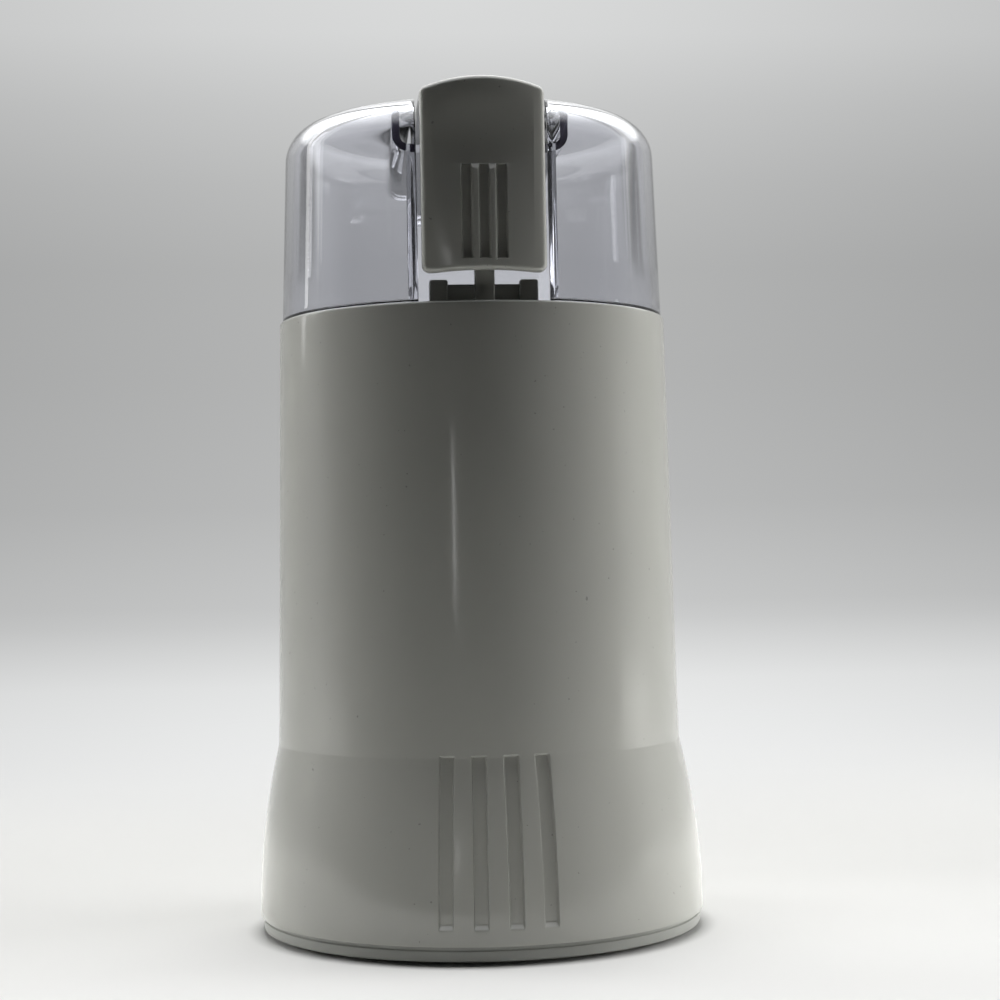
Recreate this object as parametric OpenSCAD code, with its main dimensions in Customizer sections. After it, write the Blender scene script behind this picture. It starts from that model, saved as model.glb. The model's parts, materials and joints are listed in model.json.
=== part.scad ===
// Electric spice grinder: a blade grinder with a clear lift-off lid.
// Millimetres, +Z up, origin at the centre of the base on the table. The front faces -Y.

/* [Housing] */
// Height of the rim that carries the lid
rim_z = 139; // [132:0.5:150]
// Outer radius just under the rim
rim_r = 44.5; // [43:0.1:47]
// Height of the crease between the sleeve and the skirt
crease_z = 42.5; // [38:0.5:50]
// Outer radius at the crease
crease_r = 46.1; // [45.5:0.1:48]
// How much wider the skirt is at the seam than at the crease
skirt_flare = 4.75; // [3.5:0.05:6]
// Height of the seam between the skirt and the base plate
seam_z = 3.9; // [3.2:0.1:6]
// Wall of the housing
wall = 2.2; // [1.6:0.1:3]
// Roundness of the rim's outer edge
rim_round = 0.6; // [0.3:0.1:1]

/* [Skirt grooves] */
// Number of grooves
groove_count = 4; // [2:1:6]
// Width of one groove
groove_w = 3.1; // [2:0.1:4]
// Angle from one groove to the next
groove_step = 8.4; // [6:0.1:12]
// Height of the grooves' lower end
groove_z = 8.4; // [7:0.2:14]
// Depth of the grooves in the skirt
groove_depth = 0.9; // [0.4:0.1:1.4]

/* [Base] */
// How far the base plate's ring lies inside the skirt's edge
base_inset = 0.75; // [0.4:0.05:1.2]
// Width of the base plate's lower edge bevel
base_bevel = 0.5; // [0.3:0.1:0.9]
// Height of the base plate above the table
foot_h = 0.8; // [0.5:0.1:1.5]
// Radius of one rubber foot
foot_r = 5; // [4:0.5:7]
// Radius of the circle that the feet and the base screws stand on
foot_circle = 41.2; // [40:0.1:41.6]

/* [Lid] */
// Outer radius of the lid where it meets the rim
lid_r = 43.85; // [43:0.05:44.2]
// Outer radius of the lid at its shoulder
lid_top_r = 42.65; // [42:0.05:44]
// Height of the lid's flat top above the rim
lid_h = 45.4; // [42:0.2:56]
// Radius of the lid's rounded shoulder
shoulder_r = 8.5; // [6:0.5:12]
// Wall of the lid
lid_wall = 1.9; // [1.4:0.1:2.4]
// How deep the lid reaches inside the rim
spigot_h = 3.6; // [2.5:0.1:4]
// Clear gap round the lid's spigot
lid_gap = 0.35; // [0.2:0.05:0.5]

/* [Lid slot and channel] */
// Width of the slot in the lid's front and top
slot_w = 29; // [28:0.5:31]
// Outer width of the channel under the slot
channel_w = 37.4; // [36.5:0.2:42]
// Wall of the channel
channel_wall = 1.6; // [1.2:0.1:2]
// Depth of the channel below the lid's top
channel_depth = 12.2; // [12:0.1:14]
// Outer roundness of the channel's lower corners
channel_round = 3.5; // [2.5:0.5:5]
// Distance from the axis to the channel's rear end
channel_rear = 27; // [26.5:0.5:30]
// Distance from the axis to the front of the recess behind the button
recess_y = 35; // [34.6:0.1:35.2]

/* [Button] */
// Width of the button
button_w = 26.7; // [24:0.1:27.5]
// Rise of the button's crown above the lid's top
button_rise = 2.3; // [2:0.1:5]
// Drop of the crown at the button's sides
crown_drop = 2.3; // [1:0.1:3]
// Height of the button's lower edge above the rim
button_gap = 6; // [5.5:0.1:8]
// Outer radius of the button's curved front
button_r = 45.3; // [45:0.1:47]
// Thickness of the button's front plate
plate_t = 2.4; // [1.8:0.1:2.6]
// Roundness of the button's lower corners
button_corner = 1.8; // [1:0.1:3]
// Thickness of the button's arm
arm_t = 2; // [1.5:0.1:2.5]
// Depth of the arm below the lid's top
arm_drop = 4.2; // [3.5:0.1:4.6]
// Roundness of the arm's rear end, seen from the side
button_tail = 5; // [3:0.5:6]
// Width of the leg that pushes the switch
leg_w = 4.3; // [3.5:0.1:5]
// Depth of that leg from front to back
leg_t = 2.2; // [1.8:0.1:2.4]
// How far the leg reaches below the rim
leg_drop = 3; // [2:0.1:3.2]
// Angle through which the button presses down
press_angle = 3.5; // [2.5:0.1:3.6]

/* [Thumb dish and button grooves] */
// Depth of the thumb dish
dish_depth = 1.3; // [0.6:0.1:1.5]
// Half of the dish's height
dish_half_h = 7.3; // [5:0.1:9]
// Depth of the dish's centre below the lid's top
dish_drop = 10.9; // [8.5:0.1:12.5]
// Number of grooves in the button
flute_count = 3; // [1:1:4]
// Width of one groove in the button
flute_w = 2.1; // [1.2:0.1:2.5]
// Distance from one groove to the next
flute_pitch = 3.75; // [3:0.05:5]
// Height of the grooves' lower end above the button's lower edge
flute_rise = 2.7; // [2:0.1:5]
// Depth of the grooves
flute_depth = 1; // [0.5:0.1:1.3]

/* [Hinge pin] */
// Radius of the hinge pin
pin_r = 1.5; // [1:0.1:1.6]
// Distance from the axis to the hinge pin
pin_y = 20; // [19:0.5:21]
// Depth of the hinge pin below the lid's top
pin_drop = 7.1; // [6.6:0.1:7.2]
// Radius of the hub round the hinge pin
hub_r = 3; // [2.6:0.1:3.2]

/* [Switch well] */
// Half of the distance between the posts
well_half = 7.7; // [6.5:0.1:8.5]
// Width of one post
post_w = 4; // [3:0.1:4.5]
// Height of the posts above the rim
post_rise = 5; // [3:0.1:5.3]
// Height of the cross wall above the rim
cross_rise = 4.3; // [2:0.1:4.8]
// Depth of the posts from front to back
post_d = 3.7; // [2.5:0.1:3.7]
// Thickness of the cross wall
cross_t = 0.8; // [0.6:0.1:1]
// Depth of the well's floor below the rim
well_depth = 13; // [11:0.5:14]
// Radius of the plunger's rod
plunger_r = 1.6; // [1.2:0.1:1.8]
// Thickness of the plunger's pad
pad_t = 1.6; // [1.2:0.1:2]
// Wire radius of the plunger spring
wire_r = 0.3; // [0.2:0.05:0.35]
// Number of turns of the plunger spring
spring_turns = 4; // [3:1:5]

/* [Grinding bowl] */
// Inner radius of the bowl
bowl_r = 30; // [27:0.5:30]
// Depth of the bowl
bowl_depth = 37.5; // [33:0.5:38]
// Sheet thickness of the bowl
bowl_t = 0.6; // [0.5:0.1:0.8]
// Roundness of the bowl's lower edge
bowl_round = 7; // [4:0.5:10]
// Outer radius of the bowl's flange
flange_r = 33; // [32.5:0.1:33.1]
// Drop of the bowl's flange below the rim
flange_drop = 1.4; // [1:0.1:2]
// Thickness of the deck round the bowl
deck_t = 2; // [1.6:0.1:2.6]
// Length of the blade from tip to tip
blade_len = 52; // [44:1:55]
// Width of the blade
blade_w = 9; // [7:0.5:11]
// Thickness of the blade
blade_t = 1.4; // [1:0.1:2]
// Rise of the blade's bent tips
blade_tip = 5; // [3:0.5:7]

/* [Motor] */
// Radius of the motor shaft
shaft_r = 2.5; // [2:0.1:3]
// Clear gap in the bearings
bearing_gap = 0.04; // [0.02:0.01:0.08]
// Radius of the armature
armature_r = 15; // [13:0.2:15]
// Air gap between the armature and the stator
air_gap = 0.6; // [0.4:0.1:0.9]
// Height of the laminated core
core_h = 22; // [18:1:24]
// Height of the core's underside
core_z = 52; // [51:0.5:54]
// Width of the stator from side to side
stator_w = 54; // [52:1:58]
// Radius of the circle of motor bolts
bolt_circle = 30; // [29:0.5:31]
// Radius of a motor bolt
bolt_r = 1.5; // [1.2:0.1:1.8]
// Radius of the circle of the housing's motor bosses
boss_circle = 37; // [36.8:0.1:37.2]
// Radius of a boss
boss_r = 3.6; // [3.2:0.1:4]
// Radius of the fan
fan_r = 20; // [17:0.5:21]
// Number of fan blades
fan_blades = 9; // [6:1:12]
// Radius of the commutator
commutator_r = 8; // [7:0.2:9]
// Number of slots in the armature
slot_count = 12; // [8:1:14]

/* [Cord gland] */
// Radius of the opening for the cord
cord_r = 3.1; // [2.5:0.1:3.5]
// Outer radius of the gland
gland_r = 5; // [4.4:0.1:5.5]
// Height of the gland's centre
gland_z = 16; // [15:0.5:20]
// Length of the gland through the wall
gland_len = 8; // [6:0.5:12]

/* [Hidden] */
$fn = 96;
eps = 0.01;
fit = 0.02;
ivory = [0.80, 0.80, 0.77];
clear_violet = [0.80, 0.80, 0.88, 0.4];
steel = [0.72, 0.72, 0.72];
iron = [0.42, 0.42, 0.44];
copper = [0.72, 0.42, 0.22];
brass = [0.78, 0.63, 0.32];
rubber = [0.12, 0.12, 0.12];

// Sleeve and skirt
skirt_r = crease_r + skirt_flare;
skirt_h = crease_z - seam_z;
skirt_bulge = (pow(skirt_flare, 2) + pow(skirt_h, 2)) / (2 * skirt_flare);
base_r = skirt_r - base_inset;
foot_seat = 1.2;
base_lip = 0.4;
base_lip_t = 1.6;
lip_rise = 1.5;
step_h = 0.7;
vent_len = 4.5;
vent_w = 2;
vent_rings = [14, 21, 28];
vent_turn = 30;
base_bore = 16;
base_screw_reach = 12;
corner_boss_z = seam_z + base_lip_t + 0.6;
sleeve_slope = (crease_r - rim_r) / (rim_z - crease_z);
big = 2 * skirt_r;
function sleeve_r(z) = rim_r + (rim_z - z) * sleeve_slope;

// Deck, bowl and seal
flange_z = rim_z - flange_drop;
collar_top_z = flange_z - bowl_t;
gasket_t = 0.8;
deck_z = rim_z - spigot_h - 1.2;
collar_in_r = bowl_r + bowl_t + 0.4;
bowl_floor_z = flange_z - bowl_depth;
collar_out_r = flange_r;
ledge_w = 0.8;
ledge_h = 1.5;
ledge_z = deck_z - deck_t - fit - ledge_h;

// Lid
lid_top_z = rim_z + lid_h;
lid_slope = (lid_r - lid_top_r) / (lid_top_z - shoulder_r - rim_z);
function lid_side_r(z) = lid_r - (z - rim_z) * lid_slope;
lid_in_top_z = lid_top_z - lid_wall;
rim_in_r = rim_r - wall;
spigot_r = rim_in_r - lid_gap;
channel_low_z = lid_top_z - channel_depth;
channel_floor_z = channel_low_z + channel_wall;
lid_reach = max(lid_r, lid_top_r);
lid_shelf = 1.5;
spigot_root = 3;
recess_wall = 1.5;
recess_half = slot_w / 2 + 0.6;

// Button and switch
button_top_z = lid_top_z + button_rise;
button_low_z = rim_z + button_gap;
dish_z = lid_top_z - dish_drop;
flute_low_z = button_low_z + flute_rise;
pin_z = lid_top_z - pin_drop;
arm_low_z = lid_top_z - arm_drop;
leg_low_z = rim_z - leg_drop;
post_top_z = rim_z + post_rise;
cross_top_z = rim_z + cross_rise;
well_floor_z = rim_z - well_depth;
well_back_y = recess_y + 0.5;
well_front_y = well_back_y + post_d;
leg_front_y = rim_in_r - 0.7;
pad_top_z = leg_low_z - 0.05;
pad_low_z = pad_top_z - pad_t;
pad_y = leg_front_y - leg_t - 0.2;
pad_w = 9;
pad_d = 4.4;
plunger_travel = (leg_front_y + pin_y) * sin(press_angle);
switch_drop = 14;
switch_top_z = well_floor_z - switch_drop;
lever_rise = 1.2;
lever_t = 0.3;
rod_low_z = switch_top_z + lever_rise + lever_t + 0.1 + plunger_travel;
switch_h = 10;
switch_w = 20;
switch_d = 6.4;
spring_r = plunger_r + wire_r + 0.3;
rib_t = 1.4;
plate_rib_y = well_back_y - rib_t;
holder_w = 2 * well_half + 2 * post_w;
holder_back_y = collar_out_r + 0.6;
lead_r = 0.9;
lead_half = 4;
lead_stand = 3;
lead_drop = 6;
lead_tuck = 5;
arm_root = 3;
leg_root = 4;

// Motor
core_top_z = core_z + core_h;
upper_plate_z = bowl_floor_z - 11.1;
plate_t_motor = 3;
plate_web = 4;
stand_edge = 2;
shaft_room = 0.8;
shaft_step = 0.5;
lower_plate_z = 24;
mount_t = 1.5;
boss_low_z = upper_plate_z + plate_t_motor + mount_t;
boss_bore = 12;
column_r = 3.2;
bearing_r = 5.5;
bearing_h = 7;
bearing_cup_r = 8;
upper_bearing_z = upper_plate_z + 0.4;
lower_bearing_z = lower_plate_z - 1.5;
shaft_low_z = 18;
blade_z = bowl_floor_z + bowl_t + 4.5;
shaft_top_z = blade_z + blade_t + 5;
brush_z = 34;
commutator_z = 31;
commutator_h = 13;
brush_w = 5;
brush_h = 6;
brush_out_y = 18;
brush_fit = 0.02;
holder_wall = 1.5;
holder_in_y = 10;
holder_out_y = 24;
stand_w = 6;
stand_in_y = 15;
stand_out_y = 23;
strip_w = 3;
strip_t = 0.4;
strip_hook = 2;
brush_mid_z = brush_z + holder_wall / 3 + brush_h / 2;
fan_gap = 5.6;
fan_h = 6;
fan_disc_t = 1.2;
fan_hub_wall = 3;
coil_near_x = 10.4;
coil_far_x = 17.1;
coil_near_y = 14.9;
coil_far_y = 20.1;
coil_over = 4;
coil_bar_r = armature_r + 2.7;
coil_bar_w = 4.4;
coil_bar_over = 2.4;
coil_gap = 0.4;
core_slot_depth = 4.5;
core_slot_w = 1.8;
winding_h = 4.6;
winding_inset = 1.6;
winding_gap = 0.42;
commutator_cut = 1.2;
commutator_gap = 0.5;
screw_head_r = 2.8;
screw_head_h = 2;

// Seal, blade, hub and nut
seal_under = 1.2;
seal_wall = 1.95;
seal_h = 3;
seal_flange_w = 3.5;
seal_flange_t = 1.2;
blade_taper = 12;
blade_hub_h = 2.7;
blade_hub_wall = 3;
nut_wall = 2;
nut_h = 4;
nut_cap_wall = 0.6;
nut_cap_h = 2;

// A ring with its axis on Z
module tube(r_out, r_in, z, h) {
    translate([0, 0, z]) difference() {
        cylinder(r = r_out, h = h);
        translate([0, 0, -1]) cylinder(r = r_in, h = h + 2);
    }
}

// The children once at each corner of a square, on a circle of the given radius
module at_corners(radius) {
    for (turn = [45 : 90 : 315]) rotate([0, 0, turn]) translate([radius, 0, 0]) children();
}

// A block centred on X, from y_low to y_high and from z_low to z_high
module block(width, y_low, y_high, z_low, z_high) {
    translate([-width / 2, y_low, z_low]) cube([width, y_high - y_low, z_high - z_low]);
}

// Half outline of the sleeve, drawn in by inset
module sleeve_outline(inset) {
    polygon([
        [0, crease_z - eps],
        [sleeve_r(crease_z - eps) - inset, crease_z - eps],
        [rim_r - inset, rim_z],
        [0, rim_z]
    ]);
}

// Half outline of the skirt, drawn in by inset
module skirt_outline(inset, low_z) {
    intersection() {
        translate([skirt_r - skirt_bulge, seam_z]) circle(r = skirt_bulge - inset, $fn = 360);
        translate([0, low_z]) square([big, crease_z - low_z]);
    }
}

// Upright bars at the grooves' places, up to the crease and with a sloped lower end
module groove_bars() {
    out_r = skirt_r + groove_depth;
    for (i = [0 : groove_count - 1])
        rotate([90, 0, 90 + (i - (groove_count - 1) / 2) * groove_step])
            translate([0, 0, -groove_w / 2]) linear_extrude(groove_w)
                polygon([
                    [-crease_r + 2 * groove_depth, groove_z],
                    [-skirt_r + groove_depth, groove_z],
                    [-out_r, groove_z - 2 * groove_depth],
                    [-out_r, crease_z],
                    [-crease_r + 2 * groove_depth, crease_z]
                ]);
}

// What the grooves take away: a layer of even depth off the skirt
module groove_cuts() {
    difference() {
        groove_bars();
        rotate_extrude($fn = 180) skirt_outline(groove_depth, 0);
    }
}

module rim_edge() {
    rotate_extrude() difference() {
        translate([rim_r - rim_round, rim_z - rim_round]) square(rim_round + 1);
        translate([rim_r - rim_round, rim_z - rim_round]) circle(r = rim_round, $fn = 32);
    }
}

module housing_shell() {
    rotate_extrude($fn = 180) {
        difference() {
            union() {
                sleeve_outline(0);
                skirt_outline(0, seam_z);
            }
            union() {
                translate([0, -wall]) sleeve_outline(wall);
                skirt_outline(wall, 0);
                translate([0, deck_z + 1]) square([rim_in_r, rim_z]);
            }
        }
    }
}

// The ledge inside the sleeve that carries the deck, open where the switch holder passes
module deck_ledge() {
    difference() {
        tube(rim_in_r + wall / 2, rim_in_r - ledge_w, ledge_z, ledge_h);
        block(holder_w + 2, -big, 0, 0, rim_z);
    }
}

module housing() {
    color(ivory) difference() {
        union() {
            housing_shell();
            deck_ledge();
            intersection() {
                at_corners(foot_circle) translate([0, 0, corner_boss_z])
                    cylinder(r = boss_r, h = crease_z - corner_boss_z);
                rotate_extrude($fn = 180) skirt_outline(wall / 2, seam_z);
            }
        }
        groove_cuts();
        rim_edge();
        at_corners(foot_circle) translate([0, 0, seam_z])
            cylinder(r = bolt_r + fit, h = base_bore, $fn = 48);
        block(2 * (gland_r - 1), skirt_r - 2 * gland_len, big, seam_z - 1, gland_z + gland_r - 1);
    }
}

// Ring that closes the sleeve under the lid and carries the bowl and the motor
module deck() {
    color(ivory) difference() {
        union() {
            tube(rim_in_r - fit, collar_in_r, deck_z - deck_t, deck_t);
            tube(collar_out_r, collar_in_r, deck_z - eps, collar_top_z - gasket_t - deck_z + eps);
            at_corners(boss_circle) translate([0, 0, boss_low_z])
                cylinder(r = boss_r, h = deck_z - deck_t - boss_low_z + eps);
        }
        block(holder_w + 2 * fit, -big, -holder_back_y + fit, deck_z - deck_t - 1, deck_z + 1);
        at_corners(boss_circle) translate([0, 0, boss_low_z - 1])
            cylinder(r = bolt_r + fit, h = boss_bore + 1, $fn = 48);
    }
}

// The two posts with the cross wall between them, the chute below for the plunger, and the switch's rib
module switch_holder() {
    color(ivory) difference() {
        union() {
            for (side = [-1, 1])
                translate([side * (well_half + post_w / 2), 0, 0])
                    block(post_w, -well_front_y, -well_back_y, deck_z - eps, post_top_z);
            block(2 * well_half + 1, -well_back_y - cross_t, -well_back_y, deck_z - eps, cross_top_z);
            intersection() {
                union() {
                    block(holder_w, -big, -holder_back_y, well_floor_z - deck_t, deck_z);
                    block(holder_w, -big, -plate_rib_y + rib_t, well_floor_z - deck_t, well_floor_z);
                }
                cylinder(r = rim_in_r - fit, h = rim_z);
            }
            block(switch_w + 2, -plate_rib_y, -plate_rib_y + rib_t, switch_top_z - switch_h, well_floor_z);
        }
        block(2 * well_half, -big, -well_back_y - cross_t, well_floor_z, rim_z + lid_h);
        translate([0, -pad_y, well_floor_z - deck_t - 1]) cylinder(r = plunger_r + 0.08, h = deck_t + 2);
        for (side = [-1, 1])
            translate([side * switch_w * 0.3, -plate_rib_y - 1, switch_top_z - switch_h / 2])
                rotate([-90, 0, 0]) cylinder(r = 1 + fit, h = rib_t + 2, $fn = 48);
    }
}

module base_plate() {
    color(ivory * 0.9) difference() {
        union() {
            rotate_extrude($fn = 180) polygon([
                [0, foot_h],
                [base_r - base_bevel, foot_h],
                [base_r, foot_h + base_bevel],
                [base_r, seam_z - step_h - base_inset / 4],
                [base_r - base_inset / 2, seam_z - step_h],
                [base_r - base_inset / 2, seam_z],
                [0, seam_z]
            ]);
            tube(skirt_r - wall - base_lip, skirt_r - wall - base_lip - base_lip_t, seam_z - eps, lip_rise);
        }
        at_corners(foot_circle) {
            translate([0, 0, -1]) cylinder(r = bolt_r + 0.3, h = seam_z + base_bore, $fn = 48);
            translate([0, 0, -1]) cylinder(r = foot_r + fit, h = foot_h + foot_seat + 1);
        }
        for (ring = vent_rings)
            for (turn = [0 : vent_turn : 360 - vent_turn])
                rotate([0, 0, turn]) translate([ring - vent_len / 2, -vent_w / 2, -1])
                    cube([vent_len, vent_w, seam_z + 2]);
        block(2 * gland_r, skirt_r - gland_len - 1, big, seam_z, seam_z + lip_rise + 1);
    }
}

module feet() {
    color(rubber) at_corners(foot_circle) difference() {
        cylinder(r = foot_r, h = foot_h + foot_seat);
        translate([0, 0, foot_h + 0.2]) cylinder(r = screw_head_r + 0.5, h = foot_seat + 1, $fn = 48);
    }
}

module base_screws() {
    color(steel) at_corners(foot_circle) {
        translate([0, 0, foot_h + foot_seat / 3]) cylinder(r = screw_head_r, h = foot_seat * 2 / 3, $fn = 48);
        translate([0, 0, foot_h + 1]) cylinder(r = bolt_r, h = seam_z + base_screw_reach - foot_h, $fn = 48);
    }
}

// Rubber block in the notch at the rear of the skirt, with a thin flange on the outside
module cord_gland() {
    neck_half = gland_r - 1 - fit;
    color(rubber) difference() {
        union() {
            block(2 * neck_half, skirt_r - gland_len, skirt_r - 1, seam_z + fit, gland_z + neck_half);
            intersection() {
                block(2 * gland_r, 0, skirt_r, seam_z + 0.3, gland_z + gland_r);
                union() {
                    rotate_extrude($fn = 180) difference() {
                        square([big, crease_z]);
                        skirt_outline(-eps, 0);
                    }
                    block(2 * neck_half, skirt_r - 2, skirt_r, seam_z, gland_z + neck_half);
                }
            }
        }
        translate([0, skirt_r + 1, gland_z]) rotate([90, 0, 0]) cylinder(r = cord_r, h = 2 * gland_len);
    }
}

// Half outline of the lid's outside, drawn in by inset
module lid_outline(inset, low_z) {
    intersection() {
        polygon([
            [0, low_z],
            [lid_side_r(low_z) - inset, low_z],
            [lid_top_r - inset, lid_top_z - shoulder_r],
            [lid_top_r - inset, lid_top_z - inset],
            [0, lid_top_z - inset]
        ]);
        union() {
            square([big, lid_top_z - shoulder_r]);
            square([lid_top_r - shoulder_r, lid_top_z]);
            translate([lid_top_r - shoulder_r, lid_top_z - shoulder_r]) circle(r = shoulder_r - inset, $fn = 96);
        }
    }
}

module lid_slot() {
    block(slot_w, -lid_reach - 2, channel_rear - channel_wall - 1, lid_in_top_z - 2, lid_top_z + 1);
    block(slot_w, -lid_reach - 2, -recess_y + 1, rim_z - spigot_h - 1, lid_top_z + 1);
}

module lid() {
    color(clear_violet) difference() {
        rotate_extrude($fn = 180) difference() {
            union() {
                lid_outline(0, rim_z);
                translate([0, rim_z - spigot_h]) square([spigot_r, spigot_h + 1]);
            }
            lid_outline(lid_wall, rim_z + lid_shelf);
            translate([0, rim_z - spigot_h - 1]) square([spigot_r - lid_wall, spigot_h + 1 + spigot_root]);
        }
        lid_slot();
    }
}

// Cross-section of the channel: a U with rounded lower corners
module channel_section(inset) {
    half = channel_w / 2 - inset;
    round_r = channel_round - inset;
    translate([-half, channel_low_z + inset + round_r]) square([2 * half, lid_top_z - channel_low_z]);
    translate([-half + round_r, channel_low_z + inset]) square([2 * half - 2 * round_r, round_r + 1]);
    for (side = [-1, 1])
        translate([side * (half - round_r), channel_low_z + inset + round_r]) circle(r = round_r, $fn = 48);
}

// The channel under the top slot, and the recess wall that closes the lid's front behind the button
module lid_channel() {
    color(clear_violet) difference() {
        intersection() {
            union() {
                difference() {
                    translate([0, channel_rear, 0]) rotate([90, 0, 0])
                        linear_extrude(channel_rear + recess_y) channel_section(0);
                    translate([0, channel_rear - channel_wall, 0]) rotate([90, 0, 0])
                        linear_extrude(channel_rear + recess_y) channel_section(channel_wall);
                }
                difference() {
                    block(2 * (recess_half + recess_wall), -lid_reach, -recess_y + recess_wall,
                        rim_z - spigot_h + 0.2, channel_floor_z - 0.5);
                    block(2 * recess_half, -lid_reach - 1, -recess_y, 0, channel_floor_z + 1);
                }
            }
            rotate_extrude($fn = 180) {
                lid_outline(lid_wall + 0.05, rim_z + lid_shelf);
                translate([0, rim_z - spigot_h - 1]) square([spigot_r - lid_wall - 0.05, spigot_h + 1 + spigot_root]);
            }
        }
        translate([-channel_w, pin_y, pin_z]) rotate([0, 90, 0]) cylinder(r = pin_r + fit, h = 2 * channel_w);
    }
}

module hinge_pin() {
    color(steel) translate([-channel_w / 2, pin_y, pin_z]) rotate([0, 90, 0])
        cylinder(r = pin_r, h = channel_w);
}

// Front view of the button: a crowned top and rounded lower corners
module button_front() {
    crown_r = (pow(button_w / 2, 2) + pow(crown_drop, 2)) / (2 * crown_drop);
    intersection() {
        translate([-button_w / 2, 0]) square([button_w, button_top_z + 1]);
        translate([0, button_top_z - crown_r]) circle(r = crown_r, $fn = 360);
        union() {
            translate([-button_w / 2, button_low_z + button_corner]) square([button_w, button_top_z]);
            translate([-button_w / 2 + button_corner, button_low_z])
                square([button_w - 2 * button_corner, button_top_z]);
            for (side = [-1, 1])
                translate([side * (button_w / 2 - button_corner), button_low_z + button_corner])
                    circle(r = button_corner, $fn = 48);
        }
    }
}

// Side view of the button: straight along the top, rounded down at its rear end
module button_side() {
    rear_y = pin_y + hub_r;
    translate([-button_r, 0]) square([button_r + rear_y - button_tail, button_top_z]);
    translate([-button_r, 0]) square([button_r + rear_y, button_top_z - button_tail]);
    translate([rear_y - button_tail, button_top_z - button_tail]) circle(r = button_tail, $fn = 96);
}

// The curved front plate and the arm that runs back over the lid, hollow from below
module button_shell() {
    intersection() {
        rotate([90, 0, 0]) translate([0, 0, -pin_y - hub_r]) linear_extrude(big) button_front();
        translate([-big / 2, 0, 0]) rotate([90, 0, 90]) linear_extrude(big) button_side();
        difference() {
            cylinder(r = button_r, h = rim_z * 2, $fn = 180);
            difference() {
                cylinder(r = button_r - plate_t, h = arm_low_z, $fn = 180);
                block(big, 0, big, 0, rim_z * 2);
            }
            block(big, -button_r / 2, big, 0, arm_low_z);
            block(button_w - 2 * arm_t, -button_r + plate_t + arm_root, pin_y - hub_r - 1, 0,
                button_top_z - crown_drop - arm_t);
        }
    }
}

module button() {
    dish_r = (pow(dish_half_h, 2) + pow(dish_depth, 2)) / (2 * dish_depth);
    color(ivory) difference() {
        union() {
            button_shell();
            translate([-channel_w / 2 + channel_round, pin_y, pin_z]) rotate([0, 90, 0])
                cylinder(r = hub_r, h = channel_w - 2 * channel_round);
            block(button_w, pin_y - hub_r, pin_y + hub_r, pin_z, arm_low_z + 1);
            block(leg_w, -leg_front_y, -leg_front_y + leg_t, leg_low_z, arm_low_z + 1);
            block(leg_w, -button_r + plate_t / 2, -leg_front_y + 0.5, button_low_z + leg_root, arm_low_z + 1);
        }
        translate([-channel_w, pin_y, pin_z]) rotate([0, 90, 0])
            cylinder(r = pin_r + bearing_gap, h = 2 * channel_w);
        translate([-button_w, -button_r + dish_depth - dish_r, dish_z]) rotate([0, 90, 0])
            cylinder(r = dish_r, h = 2 * button_w, $fn = 180);
        for (i = [0 : flute_count - 1])
            translate([(i - (flute_count - 1) / 2) * flute_pitch, 0, 0])
                block(flute_w, -button_r - 1, -button_r + flute_depth, flute_low_z, dish_z - dish_half_h + 1.2);
    }
}

module switch_plunger() {
    color([0.9, 0.9, 0.88]) {
        intersection() {
            block(pad_w, -pad_y - pad_d / 2, -pad_y + pad_d / 2, pad_low_z, pad_top_z);
            cylinder(r = rim_in_r - 0.2, h = rim_z);
        }
        translate([0, -pad_y, rod_low_z]) cylinder(r = plunger_r, h = pad_low_z - rod_low_z + eps);
    }
}

// Points of a spring's tube: one ring of six points for each step along the helix
function spring_ring(turn, height) =
    let (a = 360 * turn, c = [spring_r * cos(a), spring_r * sin(a), height])
    [for (k = [0 : 5]) c + wire_r * [cos(60 * k) * cos(a), cos(60 * k) * sin(a), sin(60 * k)]];

module plunger_spring() {
    steps = 10 * spring_turns;
    low_z = well_floor_z + wire_r + fit;
    high_z = pad_low_z - wire_r - fit;
    rise = (high_z - low_z) / steps;
    rings = [for (i = [0 : steps]) each spring_ring(i / 10, low_z + i * rise)];
    sides = [for (i = [0 : steps - 1]) for (k = [0 : 5])
        each let (a = 6 * i + k, b = 6 * i + (k + 1) % 6) [[a, a + 6, b + 6], [a, b + 6, b]]];
    cap = [for (k = [1 : 4]) [0, k, k + 1]];
    last = 6 * steps;
    end_cap = [for (k = [1 : 4]) [last, last + k + 1, last + k]];
    echo(least_gap_between_spring_turns = (high_z - low_z) / spring_turns - 2 * wire_r);
    color(steel) translate([0, -pad_y, 0])
        polyhedron(points = rings, faces = concat(sides, cap, end_cap));
}

module switch_body() {
    color([0.2, 0.2, 0.22]) difference() {
        block(switch_w, -plate_rib_y - 0.05 - switch_d, -plate_rib_y - 0.05, switch_top_z - switch_h, switch_top_z);
        for (side = [-1, 1])
            translate([side * switch_w * 0.3, -big, switch_top_z - switch_h / 2]) rotate([-90, 0, 0])
                cylinder(r = 1 + 0.1, h = big, $fn = 48);
    }
}

// Spring leaf that the plunger bends onto the switch
module switch_lever() {
    color(brass) {
        block(switch_w * 0.8, -pad_y - plunger_r - 0.4, -pad_y + plunger_r - 0.4, switch_top_z + lever_rise,
            switch_top_z + lever_rise + lever_t);
        translate([-switch_w * 0.38, 0, 0])
            block(lever_t, -pad_y - plunger_r - 0.4, -pad_y + plunger_r - 0.4, switch_top_z + fit,
                switch_top_z + lever_rise + lever_t / 2);
    }
}

module switch_screws() {
    color(steel) for (side = [-1, 1])
        translate([side * switch_w * 0.3, -plate_rib_y - 0.1 - switch_d, switch_top_z - switch_h / 2])
            rotate([-90, 0, 0]) {
                cylinder(r = 1, h = switch_d + 1.4, $fn = 48);
                translate([0, 0, -1]) cylinder(r = 1.7, h = 1, $fn = 48);
            }
}

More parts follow.
